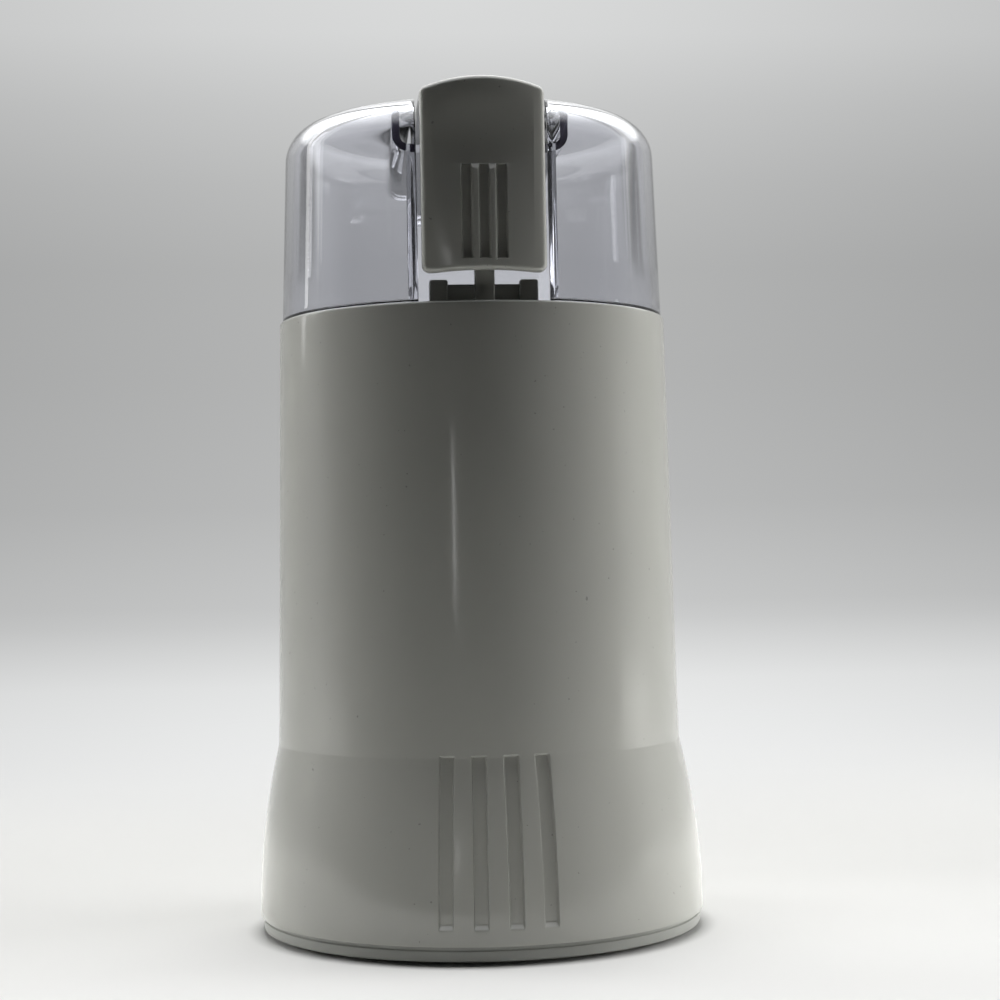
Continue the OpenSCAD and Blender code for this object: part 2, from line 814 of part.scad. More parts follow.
// Two insulated leads: one from the switch to the front brush, and one round the motor to the cord gland
module switch_leads() {
    lead_x = lead_half + lead_r + fit;
    lead_y = plate_rib_y + lead_stand;
    ring_r = sqrt(pow(lead_x, 2) + pow(lead_y, 2));
    ring_z = core_z - lead_drop;
    top_z = switch_top_z - switch_h - 0.1;
    rear_y = skirt_r - gland_len - 0.1;
    color([0.7, 0.1, 0.1]) {
        translate([-lead_x, -lead_y, brush_mid_z]) {
            cylinder(r = lead_r, h = top_z - brush_mid_z, $fn = 24);
            sphere(r = 1.1 * lead_r, $fn = 24);
            rotate([-90, 0, 0]) cylinder(r = lead_r, h = lead_y - holder_out_y + lead_tuck, $fn = 24);
        }
        translate([lead_x, -lead_y, ring_z]) {
            cylinder(r = lead_r, h = top_z - ring_z, $fn = 24);
            sphere(r = 1.1 * lead_r, $fn = 24);
        }
        intersection() {
            rotate_extrude($fn = 96) translate([ring_r, ring_z]) circle(r = lead_r, $fn = 24);
            union() {
                translate([0, 0, ring_z - 2 * lead_r]) cube([big, big, 4 * lead_r]);
                translate([lead_x, -big, ring_z - 2 * lead_r]) cube([big, big + 1, 4 * lead_r]);
            }
        }
        translate([0, ring_r, ring_z]) sphere(r = 1.1 * lead_r, $fn = 24);
        translate([0, ring_r, gland_z]) {
            cylinder(r = lead_r, h = ring_z - gland_z, $fn = 24);
            sphere(r = 1.1 * lead_r, $fn = 24);
            rotate([-90, 0, 0]) cylinder(r = lead_r, h = rear_y - ring_r, $fn = 24);
        }
    }
}

module grinding_bowl() {
    color(steel) difference() {
        rotate_extrude($fn = 180) {
            difference() {
                bowl_outline(0);
                bowl_outline(bowl_t);
            }
            translate([bowl_r + 0.1, flange_z - bowl_t]) square([flange_r - bowl_r - 0.1, bowl_t]);
        }
        cylinder(r = shaft_r + 2, h = rim_z);
    }
}

// Half outline of the bowl: the outside, or the inside when drawn in by its thickness
module bowl_outline(inset) {
    low_z = bowl_floor_z + inset;
    side_r = bowl_r + bowl_t - inset;
    round_r = bowl_round + bowl_t - inset;
    top_z = flange_z + inset;
    translate([0, low_z + round_r]) square([side_r, top_z - low_z - round_r]);
    translate([0, low_z]) square([side_r - round_r, round_r + 1]);
    translate([side_r - round_r, low_z + round_r]) intersection() {
        circle(r = round_r, $fn = 96);
        translate([-1, -big]) square(big);
    }
}

module bowl_gasket() {
    color(rubber) tube(flange_r - 0.2, collar_in_r + 0.3, collar_top_z - gasket_t + 0.01, gasket_t - 0.02);
}

module shaft_seal() {
    seal_low = bowl_floor_z - seal_under;
    color(rubber) difference() {
        union() {
            translate([0, 0, seal_low]) cylinder(r = shaft_r + seal_wall, h = seal_h);
            translate([0, 0, bowl_floor_z + bowl_t + fit]) cylinder(r = shaft_r + seal_flange_w, h = seal_flange_t);
        }
        cylinder(r = shaft_r + 0.1, h = rim_z);
    }
}

// Flat blade with a bevelled, upturned tip at each end
module blade() {
    flat = blade_len - 2 * blade_tip;
    color(steel) difference() {
        union() {
            translate([-flat / 2, -blade_w / 2, blade_z]) cube([flat, blade_w, blade_t]);
            for (side = [0, 180]) rotate([0, 0, side])
                translate([flat / 2 - blade_t / 2, -blade_w / 2, blade_z])
                    rotate([0, -45, 0]) cube([blade_tip * 1.41, blade_w, blade_t]);
        }
        for (side = [0, 180]) rotate([0, 0, side])
            translate([flat / 2 - blade_taper, blade_w / 2, blade_z - 1]) rotate([0, 0, -12])
                cube([blade_len, blade_w, blade_len]);
        cylinder(r = shaft_r - shaft_step + fit, h = rim_z);
    }
}

module blade_hub() {
    color([0.15, 0.15, 0.16]) difference() {
        translate([0, 0, blade_z - blade_hub_h]) cylinder(r = shaft_r + blade_hub_wall, h = blade_hub_h - fit);
        cylinder(r = shaft_r + fit, h = rim_z);
    }
}

module blade_nut() {
    color(brass) difference() {
        union() {
            translate([0, 0, blade_z + blade_t + fit]) cylinder(r = shaft_r + nut_wall, h = nut_h, $fn = 6);
            translate([0, 0, blade_z + blade_t + nut_h]) cylinder(r = shaft_r + nut_cap_wall, h = nut_cap_h);
        }
        translate([0, 0, blade_z]) cylinder(r = shaft_r - shaft_step + fit, h = shaft_top_z - blade_z + 0.1);
    }
}

module motor_shaft() {
    color(steel) {
        translate([0, 0, shaft_low_z]) cylinder(r = shaft_r, h = blade_z - shaft_low_z);
        translate([0, 0, blade_z - eps]) cylinder(r = shaft_r - shaft_step, h = shaft_top_z - blade_z + eps);
    }
}

module upper_bearing() {
    color(brass) tube(bearing_r, shaft_r + bearing_gap, upper_bearing_z, bearing_h);
}

module lower_bearing() {
    color(brass) tube(bearing_r, shaft_r + bearing_gap, lower_bearing_z, bearing_h);
}

// Spider that carries the upper bearing, with columns down to the stator
module upper_bracket() {
    color(steel) difference() {
        union() {
            translate([0, 0, upper_plate_z]) cylinder(r = bearing_cup_r + plate_web, h = plate_t_motor);
            translate([0, 0, upper_plate_z]) cylinder(r = bearing_cup_r, h = bearing_h + 0.4);
            for (turn = [45, 135]) rotate([0, 0, turn])
                block(2 * column_r, -boss_circle - column_r, boss_circle + column_r, upper_plate_z,
                    upper_plate_z + plate_t_motor);
            at_corners(bolt_circle) translate([0, 0, core_top_z + fit])
                cylinder(r = column_r, h = upper_plate_z - core_top_z);
        }
        translate([0, 0, upper_bearing_z]) cylinder(r = bearing_r + fit, h = 2 * bearing_h);
        translate([0, 0, upper_plate_z - 1]) cylinder(r = shaft_r + shaft_room, h = plate_t_motor + 1);
        at_corners(bolt_circle) translate([0, 0, core_z]) cylinder(r = bolt_r + fit, h = rim_z, $fn = 48);
        at_corners(boss_circle) translate([0, 0, core_z]) cylinder(r = bolt_r + 0.2, h = rim_z, $fn = 48);
    }
}

// Cross that carries the lower bearing, with columns up to the stator
module lower_bracket() {
    color(steel) difference() {
        union() {
            translate([0, 0, lower_plate_z]) cylinder(r = bearing_cup_r + plate_web, h = plate_t_motor);
            translate([0, 0, lower_bearing_z]) cylinder(r = bearing_cup_r, h = plate_t_motor);
            for (turn = [45, 135]) rotate([0, 0, turn])
                block(2 * column_r, -bolt_circle - column_r, bolt_circle + column_r, lower_plate_z,
                    lower_plate_z + plate_t_motor);
            block(2 * stand_w, -holder_out_y - stand_edge, holder_out_y + stand_edge, lower_plate_z,
                lower_plate_z + plate_t_motor);
            at_corners(bolt_circle) translate([0, 0, lower_plate_z])
                cylinder(r = column_r, h = core_z - lower_plate_z - fit);
        }
        translate([0, 0, lower_bearing_z - 1]) cylinder(r = bearing_r + fit, h = 2 * bearing_h);
        at_corners(bolt_circle) cylinder(r = bolt_r + fit, h = rim_z, $fn = 48);
    }
}

module motor_bolts() {
    color(steel) at_corners(bolt_circle) {
        translate([0, 0, lower_plate_z - screw_head_h - eps])
            cylinder(r = screw_head_r, h = screw_head_h, $fn = 48);
        translate([0, 0, lower_plate_z - 0.1])
            cylinder(r = bolt_r, h = upper_plate_z + plate_t_motor - lower_plate_z, $fn = 48);
    }
}

module stator_core() {
    color(iron) difference() {
        translate([-stator_w / 2, -stator_w / 2, core_z]) cube([stator_w, stator_w, core_h]);
        cylinder(r = armature_r + air_gap, h = rim_z, $fn = 180);
        at_corners(bolt_circle) cylinder(r = bolt_r + fit, h = rim_z, $fn = 48);
        for (sx = [-1, 1]) for (sy = [-1, 1])
            translate([sx * (coil_near_x + coil_far_x) / 2, sy * (coil_near_y + coil_far_y) / 2, core_z - 1])
                translate([-(coil_far_x - coil_near_x) / 2 - 0.3, -(coil_far_y - coil_near_y) / 2 - 0.3, 0])
                    cube([coil_far_x - coil_near_x + 0.6, coil_far_y - coil_near_y + 0.6, core_h + 2]);
    }
}

// One field coil: two legs through the stator and a bar across each end
module field_coil(side) {
    color(copper) {
        for (sy = [-1, 1])
            translate([side * (coil_near_x + coil_far_x) / 2, sy * (coil_near_y + coil_far_y) / 2, 0])
                block(coil_far_x - coil_near_x, -(coil_far_y - coil_near_y) / 2,
                    (coil_far_y - coil_near_y) / 2, core_z - coil_over, core_top_z + coil_over);
        for (z = [core_z - coil_over, core_top_z + coil_gap])
            translate([side * coil_bar_r, 0, 0])
                block(coil_bar_w, -coil_near_y - coil_bar_over, coil_near_y + coil_bar_over, z,
                    z + coil_over - coil_gap);
    }
}

module field_coil_left() {
    field_coil(-1);
}

module field_coil_right() {
    field_coil(1);
}

module armature_core() {
    color(iron) difference() {
        translate([0, 0, core_z]) cylinder(r = armature_r, h = core_h);
        cylinder(r = shaft_r + fit, h = rim_z);
        for (i = [0 : slot_count - 1])
            rotate([0, 0, i * 360 / slot_count])
                translate([armature_r - core_slot_depth, -core_slot_w / 2, core_z - 1])
                    cube([armature_r, core_slot_w, core_h + 2]);
    }
}

module armature_windings() {
    color(copper) for (z = [core_z - winding_h - winding_gap, core_top_z + fit])
        difference() {
            translate([0, 0, z]) cylinder(r = armature_r - winding_inset, h = winding_h);
            translate([0, 0, z - 1]) cylinder(r = shaft_r + 1, h = 2 * winding_h);
        }
}

module commutator() {
    color(copper) difference() {
        translate([0, 0, commutator_z]) cylinder(r = commutator_r, h = commutator_h);
        cylinder(r = shaft_r + fit, h = rim_z);
        for (i = [0 : slot_count - 1])
            rotate([0, 0, (i + 0.5) * 360 / slot_count])
                translate([commutator_r - commutator_cut, -commutator_gap / 2, commutator_z - 1])
                    cube([commutator_r, commutator_gap, commutator_h + 2]);
    }
}

module fan() {
    fan_z = core_top_z + fan_gap;
    color([0.16, 0.16, 0.17]) difference() {
        union() {
            translate([0, 0, fan_z]) cylinder(r = fan_r, h = fan_disc_t);
            translate([0, 0, fan_z]) cylinder(r = shaft_r + fan_hub_wall, h = fan_h);
            for (i = [0 : fan_blades - 1])
                rotate([0, 0, i * 360 / fan_blades]) translate([shaft_r + fan_hub_wall / 2, -fan_disc_t / 2, fan_z])
                    cube([fan_r - shaft_r - fan_hub_wall, fan_disc_t, fan_h]);
        }
        cylinder(r = shaft_r + fit, h = rim_z);
    }
}

// Brass boxes on insulating stands, one each side of the commutator
module brush_holders() {
    color(brass) for (turn = [0, 180]) rotate([0, 0, turn]) difference() {
        union() {
            block(brush_w + 2 * holder_wall, holder_in_y, holder_out_y, brush_mid_z - brush_h / 2 - holder_wall,
                brush_mid_z + brush_h / 2 + holder_wall);
            block(stand_w, stand_in_y, stand_out_y, lower_plate_z + plate_t_motor + fit, brush_z);
        }
        block(brush_w + 2 * brush_fit, 0, 2 * holder_out_y, brush_mid_z - brush_h / 2 - brush_fit,
            brush_mid_z + brush_h / 2 + brush_fit);
    }
}

module brushes() {
    color([0.1, 0.1, 0.1]) for (turn = [0, 180]) rotate([0, 0, turn]) difference() {
        block(brush_w, 1, brush_out_y, brush_mid_z - brush_h / 2, brush_mid_z + brush_h / 2);
        cylinder(r = commutator_r + 0.05, h = rim_z);
    }
}

// Strip spring that presses each brush in, hooked over its holder
module brush_springs() {
    color(brass) for (turn = [0, 180]) rotate([0, 0, turn]) {
        block(strip_w, brush_out_y + fit, brush_out_y + fit + strip_t, brush_mid_z - brush_h / 3,
            brush_mid_z + brush_h / 3);
        block(strip_w, brush_out_y + fit, holder_out_y + 2 * strip_t, brush_mid_z - strip_t / 2,
            brush_mid_z + strip_t / 2);
        block(strip_w, holder_out_y + fit, holder_out_y + fit + strip_t, brush_mid_z,
            brush_mid_z + brush_h / 2 + strip_hook);
    }
}

module motor_mounts() {
    color(rubber) at_corners(boss_circle)
        tube(boss_r + 0.4, bolt_r + 0.2, upper_plate_z + plate_t_motor + fit, mount_t - 2 * fit);
}

module mount_screws() {
    color(steel) at_corners(boss_circle) {
        translate([0, 0, upper_plate_z - screw_head_h - fit])
            cylinder(r = screw_head_r, h = screw_head_h, $fn = 48);
        translate([0, 0, upper_plate_z - 0.1]) cylinder(r = bolt_r, h = boss_bore + 2, $fn = 48);
    }
}

housing();
deck();
switch_holder();
base_plate();
feet();
base_screws();
cord_gland();
lid();
lid_channel();
hinge_pin();
button();
switch_plunger();
plunger_spring();
switch_body();
switch_lever();
switch_screws();
switch_leads();
grinding_bowl();
bowl_gasket();
shaft_seal();
blade();
blade_hub();
blade_nut();
motor_shaft();
upper_bearing();
lower_bearing();
upper_bracket();
lower_bracket();
motor_bolts();
stator_core();
field_coil_left();
field_coil_right();
armature_core();
armature_windings();
commutator();
fan();
brush_holders();
brushes();
brush_springs();
motor_mounts();
mount_screws();
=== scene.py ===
"""Electric spice grinder: the finished look of the housing, clear lid, press button and what is inside.

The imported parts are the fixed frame. Pieces are sized in millimetres, and the stage and its lamps in metres.
"""
import json
import math

import bmesh
import bpy
from mathutils import Matrix, Vector


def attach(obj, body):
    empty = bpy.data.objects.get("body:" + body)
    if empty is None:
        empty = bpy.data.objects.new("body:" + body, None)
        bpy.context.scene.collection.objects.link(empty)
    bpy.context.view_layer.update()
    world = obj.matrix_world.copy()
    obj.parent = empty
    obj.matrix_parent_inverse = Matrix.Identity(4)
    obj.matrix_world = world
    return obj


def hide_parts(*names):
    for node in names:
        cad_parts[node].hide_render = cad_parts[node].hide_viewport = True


bl_info = {
    "name": "Spice grinder",
    "version": (1, 0, 0),
    "blender": (4, 5, 0),
    "location": "View3D > Sidebar > Grinder",
    "description": "Builds the visible pieces, finishes and stage of an electric spice grinder",
    "category": "Object",
}

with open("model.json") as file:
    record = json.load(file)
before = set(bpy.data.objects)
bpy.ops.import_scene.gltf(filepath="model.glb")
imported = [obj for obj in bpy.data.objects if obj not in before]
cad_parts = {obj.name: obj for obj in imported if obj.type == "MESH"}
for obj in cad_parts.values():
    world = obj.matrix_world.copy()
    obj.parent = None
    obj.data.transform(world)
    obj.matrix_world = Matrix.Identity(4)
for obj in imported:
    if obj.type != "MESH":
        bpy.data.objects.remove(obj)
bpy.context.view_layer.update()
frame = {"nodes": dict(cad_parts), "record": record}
MM = 0.001
SMOOTH_DEG = 40

# How close two points are merged, in metres: in a new mesh and after a modifier
SAME_POINT = 1e-7
SETTLED_POINT = 2e-6
SLIVER = 1e-6

# Sizes that several pieces share, in millimetres. The front is at -Y.
SCREWS = 4
FIRST_SCREW_DEG = 45
SCREW_AWAY = 41.2
BOSS_R = 3.6
DECK_LOW = 132.2
DECK_TOP = 134.2
DECK_R = 42.27
RIM_Z = 139
PIN_Y = 20
PIN_Z = 177.3
LID_GAP = 0.08

# How far cutters reach: through a bore from side to side, and past the outside of every piece
BORE_REACH = 30
OUTSIDE = 60


# Sizes and colours that a user would change

def measure(name, description, default):
    """A property in millimetres, or in degrees where its description says so."""
    return bpy.props.FloatProperty(name=name, description=description, default=default)


class HousingSizes(bpy.types.PropertyGroup):
    """Sizes of the sleeve, the skirt and its grooves, in millimetres."""

    rim_z: measure("Rim height", "Height of the rim under the lid", 139)
    rim_r: measure("Rim radius", "Outer radius at the rim", 44.5)
    crease_z: measure("Crease height", "Where the skirt starts", 42.5)
    crease_r: measure("Crease radius", "Outer radius at the crease", 46.1)
    skirt_r: measure("Skirt radius", "Outer radius at the seam", 50.85)
    skirt_bulge: measure("Skirt bulge", "Radius of the skirt's curve", 159.2)
    seam_z: measure("Seam height", "Seam above the base plate", 3.9)
    wall: measure("Wall", "Wall of the housing", 2.2)
    groove_w: measure("Groove width", "Width of a skirt groove", 3.1)
    groove_step: measure("Groove step", "Degrees between grooves", 8.4)
    groove_z: measure("Groove end", "Height of the grooves' lower end", 8.4)
    groove_depth: measure("Groove depth", "Depth of the skirt grooves", 0.9)
    groove_count: bpy.props.IntProperty(
        name="Grooves", description="Number of skirt grooves", default=4, min=1)


class LidSizes(bpy.types.PropertyGroup):
    """Sizes of the clear lid and its channel, in millimetres."""

    low_r: measure("Lower radius", "Outer radius at the rim", 43.85)
    top_r: measure("Upper radius", "Outer radius at the shoulder", 42.65)
    top_z: measure("Top height", "Height of the flat top", 184.4)
    shoulder_r: measure("Shoulder", "Radius of the shoulder", 8.5)
    wall: measure("Wall", "Wall of the lid", 1.9)
    slot_w: measure("Slot width", "Width of the slot", 28.3)
    channel_w: measure("Channel width", "Outer width of the channel", 37.4)
    channel_wall: measure("Channel wall", "Wall of the channel", 1.6)
    channel_depth: measure("Channel depth", "Depth below the top", 12.2)
    channel_round: measure("Channel corner", "Outer corner radius", 3.5)
    recess_y: measure("Recess", "Axis to the recess wall's front", 35)


class ButtonSizes(bpy.types.PropertyGroup):
    """Sizes of the press button, in millimetres."""

    width: measure("Width", "Width of the button", 26.7)
    top_z: measure("Top", "Height of the crown", 186.7)
    crown_drop: measure("Crown", "Drop of the crown at the sides", 2.3)
    low_z: measure("Lower edge", "Height of the lower edge", 145)
    front_r: measure("Front radius", "Radius of the curved front", 45.3)
    dish_depth: measure("Dish depth", "Depth of the thumb dish", 1.3)
    dish_half_h: measure("Dish half height", "Half the dish's height", 7.3)
    dish_z: measure("Dish height", "Height of the dish's centre", 173.5)
    groove_w: measure("Groove width", "Width of a groove", 2.1)
    groove_pitch: measure("Groove pitch", "Groove to groove", 3.75)
    groove_low_z: measure("Groove end", "Height of the grooves' end", 147.7)
    groove_depth: measure("Groove depth", "Depth of a groove", 1.25)
    edge: measure("Edge", "Roundness of the edges", 1.1)


class Finishes(bpy.types.PropertyGroup):
    """Colours of the finishes."""

    ivory: bpy.props.FloatVectorProperty(
        name="Body plastic", description="Moulded plastic of the body", subtype="COLOR",
        size=3, default=(0.46, 0.46, 0.425))
    # painted shade: the base colour is a darker grey than the body, darkened for the shade that falls on the
    # base ring near the floor
    base: bpy.props.FloatVectorProperty(
        name="Base plastic", description="Moulded plastic of the base", subtype="COLOR",
        size=3, default=(0.345, 0.35, 0.325))
    clear: bpy.props.FloatVectorProperty(
        name="Clear plastic", description="Tint of the clear lid", subtype="COLOR",
        size=3, default=(0.915, 0.92, 0.955))


# Mesh helpers

def new_object(name, mesh):
    """Puts a mesh in the scene as an object."""
    obj = bpy.data.objects.new(name, mesh)
    bpy.context.scene.collection.objects.link(obj)
    return obj


def mesh_from(name, verts_mm, faces, smooth_deg=SMOOTH_DEG):
    """A mesh object from points in millimetres, with doubles merged and faces turned outwards."""
    mesh = bpy.data.meshes.new(name)
    mesh.from_pydata([Vector(v) * MM for v in verts_mm], [], faces)
    bm = bmesh.new()
    bm.from_mesh(mesh)
    bmesh.ops.remove_doubles(bm, verts=bm.verts, dist=SAME_POINT)
    bmesh.ops.recalc_face_normals(bm, faces=bm.faces)
    bm.to_mesh(mesh)
    bm.free()
    smooth(mesh, smooth_deg)
    return new_object(name, mesh)


def smooth(mesh, degrees=SMOOTH_DEG):
    """Smooth shading, with an edge left sharp where it turns by more than the given degrees."""
    mesh.shade_smooth()
    mesh.set_sharp_from_angle(angle=math.radians(degrees))


def fillet(corners, steps=5, closed=True):
    """Points of an outline whose corners (x, y, radius) are rounded by arcs."""
    points = []
    count = len(corners)
    for i, (x, y, radius) in enumerate(corners):
        here = Vector((x, y))
        if radius <= 0 or (not closed and i in (0, count - 1)):
            points.append((x, y))
            continue
        back = (Vector(corners[i - 1][:2]) - here).normalized()
        ahead = (Vector(corners[(i + 1) % count][:2]) - here).normalized()
        half = back.angle(ahead) / 2
        reach = radius / math.tan(half)
        centre = here + (back + ahead).normalized() * (radius / math.sin(half))
        start = here + back * reach - centre
        turn = start.angle_signed(here + ahead * reach - centre)
        for k in range(steps + 1):
            a = -turn * k / steps
            points.append((centre.x + start.x * math.cos(a) - start.y * math.sin(a),
                           centre.y + start.x * math.sin(a) + start.y * math.cos(a)))
    return points


def arc(cx, cy, radius, start_deg, end_deg, steps):
    """Points (x, y) along an arc, both ends included."""
    points = []
    for k in range(steps + 1):
        a = math.radians(start_deg + (end_deg - start_deg) * k / steps)
        points.append((cx + radius * math.cos(a), cy + radius * math.sin(a)))
    return points


def circle(cx, cy, radius, steps=32):
    """Points (x, y) round a whole circle."""
    return arc(cx, cy, radius, 0, 360, steps)[:-1]


def even_turns(count):
    """Angles at even steps round the axis."""
    return [2 * math.pi * i / count for i in range(count)]


def lathe(name, outline_mm, turns=None, shape=None, smooth_deg=SMOOTH_DEG):
    """A closed outline of (radius, height) points turned about Z. shape may change the radius by angle."""
    turns = turns or even_turns(192)
    rows = len(outline_mm)
    verts, rings = [], []
    for row, (radius, z) in enumerate(outline_mm):
        if radius == 0:
            rings.append([len(verts)] * len(turns))
            verts.append((0, 0, z))
            continue
        rings.append(list(range(len(verts), len(verts) + len(turns))))
        for turn in turns:
            r = shape(radius, z, turn, row) if shape else radius
            verts.append((r * math.cos(turn), r * math.sin(turn), z))
    faces = []
    for k in range(rows):
        low, high = rings[k], rings[(k + 1) % rows]
        for i in range(len(turns)):
            j = (i + 1) % len(turns)
            corners = list(dict.fromkeys((low[i], low[j], high[j], high[i])))
            if len(corners) > 2:
                faces.append(tuple(corners))
    return mesh_from(name, verts, faces, smooth_deg)


def extrude(name, outline_mm, axis, low_mm, high_mm):
    """A closed outline extruded along an axis. The outline's two numbers are the other two axes in order."""
    place = "XYZ".index(axis)
    count = len(outline_mm)
    verts = []
    for level in (low_mm, high_mm):
        for point in outline_mm:
            verts.append(point[:place] + (level,) + point[place:])
    faces = [tuple(range(count)), tuple(range(2 * count - 1, count - 1, -1))]
    faces += [(i, (i + 1) % count, count + (i + 1) % count, count + i) for i in range(count)]
    return mesh_from(name, verts, faces)


def box_outline(x0, x1, y0, y1, radius=0.0):
    """A rectangle, with its corners rounded when a radius is given."""
    return fillet([(x0, y0, radius), (x1, y0, radius), (x1, y1, radius), (x0, y1, radius)], 4)


def rounded_box(name, low_mm, high_mm, edge_mm, steps=3):
    """A box with all edges rounded."""
    obj = extrude(name, box_outline(low_mm[0], high_mm[0], low_mm[1], high_mm[1]), "Z", low_mm[2], high_mm[2])
    bevel(obj, edge_mm, steps)
    return obj


def bevel(obj, width_mm, steps=3, angle_deg=35):
    """Rounds the sharp edges of a mesh for good."""
    mod = obj.modifiers.new("Bevel", "BEVEL")
    mod.width = width_mm * MM
    mod.segments = steps
    mod.limit_method = "ANGLE"
    mod.angle_limit = math.radians(angle_deg)
    mod.use_clamp_overlap = True
    mod.harden_normals = False
    settle(obj)


def cut(obj, cutter, operation="DIFFERENCE"):
    """Cuts with another object, which is then removed."""
    mod = obj.modifiers.new("Cut", "BOOLEAN")
    mod.operation = operation
    mod.solver = "MANIFOLD"
    mod.object = cutter
    settle(obj)
    bpy.data.objects.remove(cutter)


def settle(obj):
    """Applies every modifier, so that a plain mesh is left."""
    bpy.context.view_layer.update()
    evaluated = obj.evaluated_get(bpy.context.evaluated_depsgraph_get())
    mesh = bpy.data.meshes.new_from_object(evaluated)
    obj.modifiers.clear()
    old = obj.data
    obj.data = mesh
    mesh.name = obj.name
    bpy.data.meshes.remove(old)
    bm = bmesh.new()
    bm.from_mesh(mesh)
    bmesh.ops.remove_doubles(bm, verts=bm.verts, dist=SETTLED_POINT)
    bmesh.ops.dissolve_degenerate(bm, edges=bm.edges, dist=SLIVER)
    bm.to_mesh(mesh)
    bm.free()
    smooth(mesh)


def join(target, *others):
    """Adds the meshes of other objects to the target's mesh, and removes those objects."""
    bm = bmesh.new()
    bm.from_mesh(target.data)
    for other in others:
        bm.from_mesh(other.data)
        bpy.data.objects.remove(other)
    bm.to_mesh(target.data)
    bm.free()
    smooth(target.data)


def finish(obj, material, body, node):
    """Gives a piece its material and body, and hides the frame part that it stands for."""
    obj.data.materials.clear()
    obj.data.materials.append(material)
    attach(obj, body)
    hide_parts(node)


def screw_bosses(away, low, high):
    """Four upright bosses, each away from the axis by the given distance."""
    bosses = []
    for k in range(SCREWS):
        a = math.radians(FIRST_SCREW_DEG + 360 / SCREWS * k)
        outline = circle(away * math.cos(a), away * math.sin(a), BOSS_R)
        bosses.append(extrude("boss", outline, "Z", low, high))
    return bosses


# Shader helpers

class Link:
    """A node socket with arithmetic, so that shader maths reads as an expression."""

    def __init__(self, nodes, socket):
        self.nodes = nodes
        self.socket = socket

    def _math(self, operation, *values):
        return self.nodes.node("ShaderNodeMath", {"operation": operation}, dict(enumerate(values)))

    def __add__(self, other):
        return self._math("ADD", self, other)

    __radd__ = __add__

    def __sub__(self, other):
        return self._math("SUBTRACT", self, other)

    def __rsub__(self, other):
        return self._math("SUBTRACT", other, self)

    def __mul__(self, other):
        return self._math("MULTIPLY", self, other)

    __rmul__ = __mul__

    def __truediv__(self, other):
        return self._math("DIVIDE", self, other)

    def __rtruediv__(self, other):
        return self._math("DIVIDE", other, self)

    def __pow__(self, other):
        return self._math("POWER", self, other)

    def __rpow__(self, other):
        return self._math("POWER", other, self)

    def absolute(self):
        return self._math("ABSOLUTE", self)

    def step(self, low, high):
        """0 below low, 1 above high and smooth between."""
        return self.nodes.node("ShaderNodeMapRange", {"interpolation_type": "SMOOTHSTEP"},
                               {"Value": self, "From Min": low, "From Max": high})


class Nodes:
    """Adds nodes to one node tree."""

    def __init__(self, tree):
        self.tree = tree

    def node(self, kind, settings=None, sockets=None, out=0):
        """Adds a node with its settings and its sockets' values or links, and gives one of its outputs."""
        made = self.tree.nodes.new(kind)
        for key, value in (settings or {}).items():
            if key == "stops":
                ramp(made.color_ramp, value)
            else:
                setattr(made, key, value)
        for key, value in (sockets or {}).items():
            socket = made.inputs[key]
            if isinstance(value, Link):
                self.tree.links.new(value.socket, socket)
            else:
                socket.default_value = value
        if made.outputs:
            return Link(self, made.outputs[out])

    def outputs(self, link):
        """Every output of the node that a link comes from."""
        return [Link(self, socket) for socket in link.socket.node.outputs]


class Shade(Nodes):
    """Builds the shader of a new material, or of the given world."""

    def __init__(self, name, world=None):
        self.owner = world or bpy.data.materials.new(name)
        self.owner.use_nodes = True
        super().__init__(self.owner.node_tree)
        self.tree.nodes.clear()
        self.end = "ShaderNodeOutputWorld" if world else "ShaderNodeOutputMaterial"

    def place(self, scale=(1, 1, 1)):
        """The piece's own coordinates in metres, stretched by the scale."""
        coords = self.node("ShaderNodeTexCoord", out="Object")
        return self.node("ShaderNodeMapping", {}, {"Vector": coords, "Scale": scale})

    def axes(self):
        """The piece's own X, Y and Z in metres, each on its own."""
        coords = self.node("ShaderNodeTexCoord", out="Object")
        return self.outputs(self.node("ShaderNodeSeparateXYZ", {}, {"Vector": coords}))

    def ray(self, kind):
        """1 for rays of a kind, such as Camera, and 0 for all others."""
        return self.node("ShaderNodeLightPath", out="Is " + kind + " Ray")

    def noise(self, scale, detail=3.0, stretch=(1, 1, 1)):
        """Soft uneven noise from 0 to 1."""
        return self.node("ShaderNodeTexNoise", {}, {
            "Vector": self.place(stretch), "Scale": scale, "Detail": detail})

    def bands(self, scale, distortion, detail):
        """Level bands up the side of a piece."""
        return self.node("ShaderNodeTexWave", {"wave_type": "BANDS", "bands_direction": "Z"}, {
            "Vector": self.place(), "Scale": scale, "Distortion": distortion, "Detail": detail})

    def mix(self, amount, a, b):
        """A blend of two colours, which a Mix node has in its inputs 6 and 7 and gives in its output 2."""
        return self.node("ShaderNodeMix", {"data_type": "RGBA"}, {0: amount, 6: a, 7: b}, 2)

    def dim(self, colour, amount):
        """A colour times a number."""
        return self.node("ShaderNodeVectorMath", {"operation": "SCALE"}, {0: colour, "Scale": amount})

    def bump(self, height, distance_mm, strength):
        """The surface normal, tilted by a height from 0 to 1."""
        return self.node("ShaderNodeBump", {}, {
            "Height": height, "Distance": distance_mm * MM, "Strength": strength})

    def surface(self, **sockets):
        """Closes the material with one Principled shader, whose sockets are named with _ for a space."""
        named = {key.replace("_", " "): value for key, value in sockets.items()}
        return self.close(self.node("ShaderNodeBsdfPrincipled", {}, named))

    def close(self, shader):
        """Adds the output and gives the finished material or world."""
        self.node(self.end, {}, {"Surface": shader})
        return self.owner


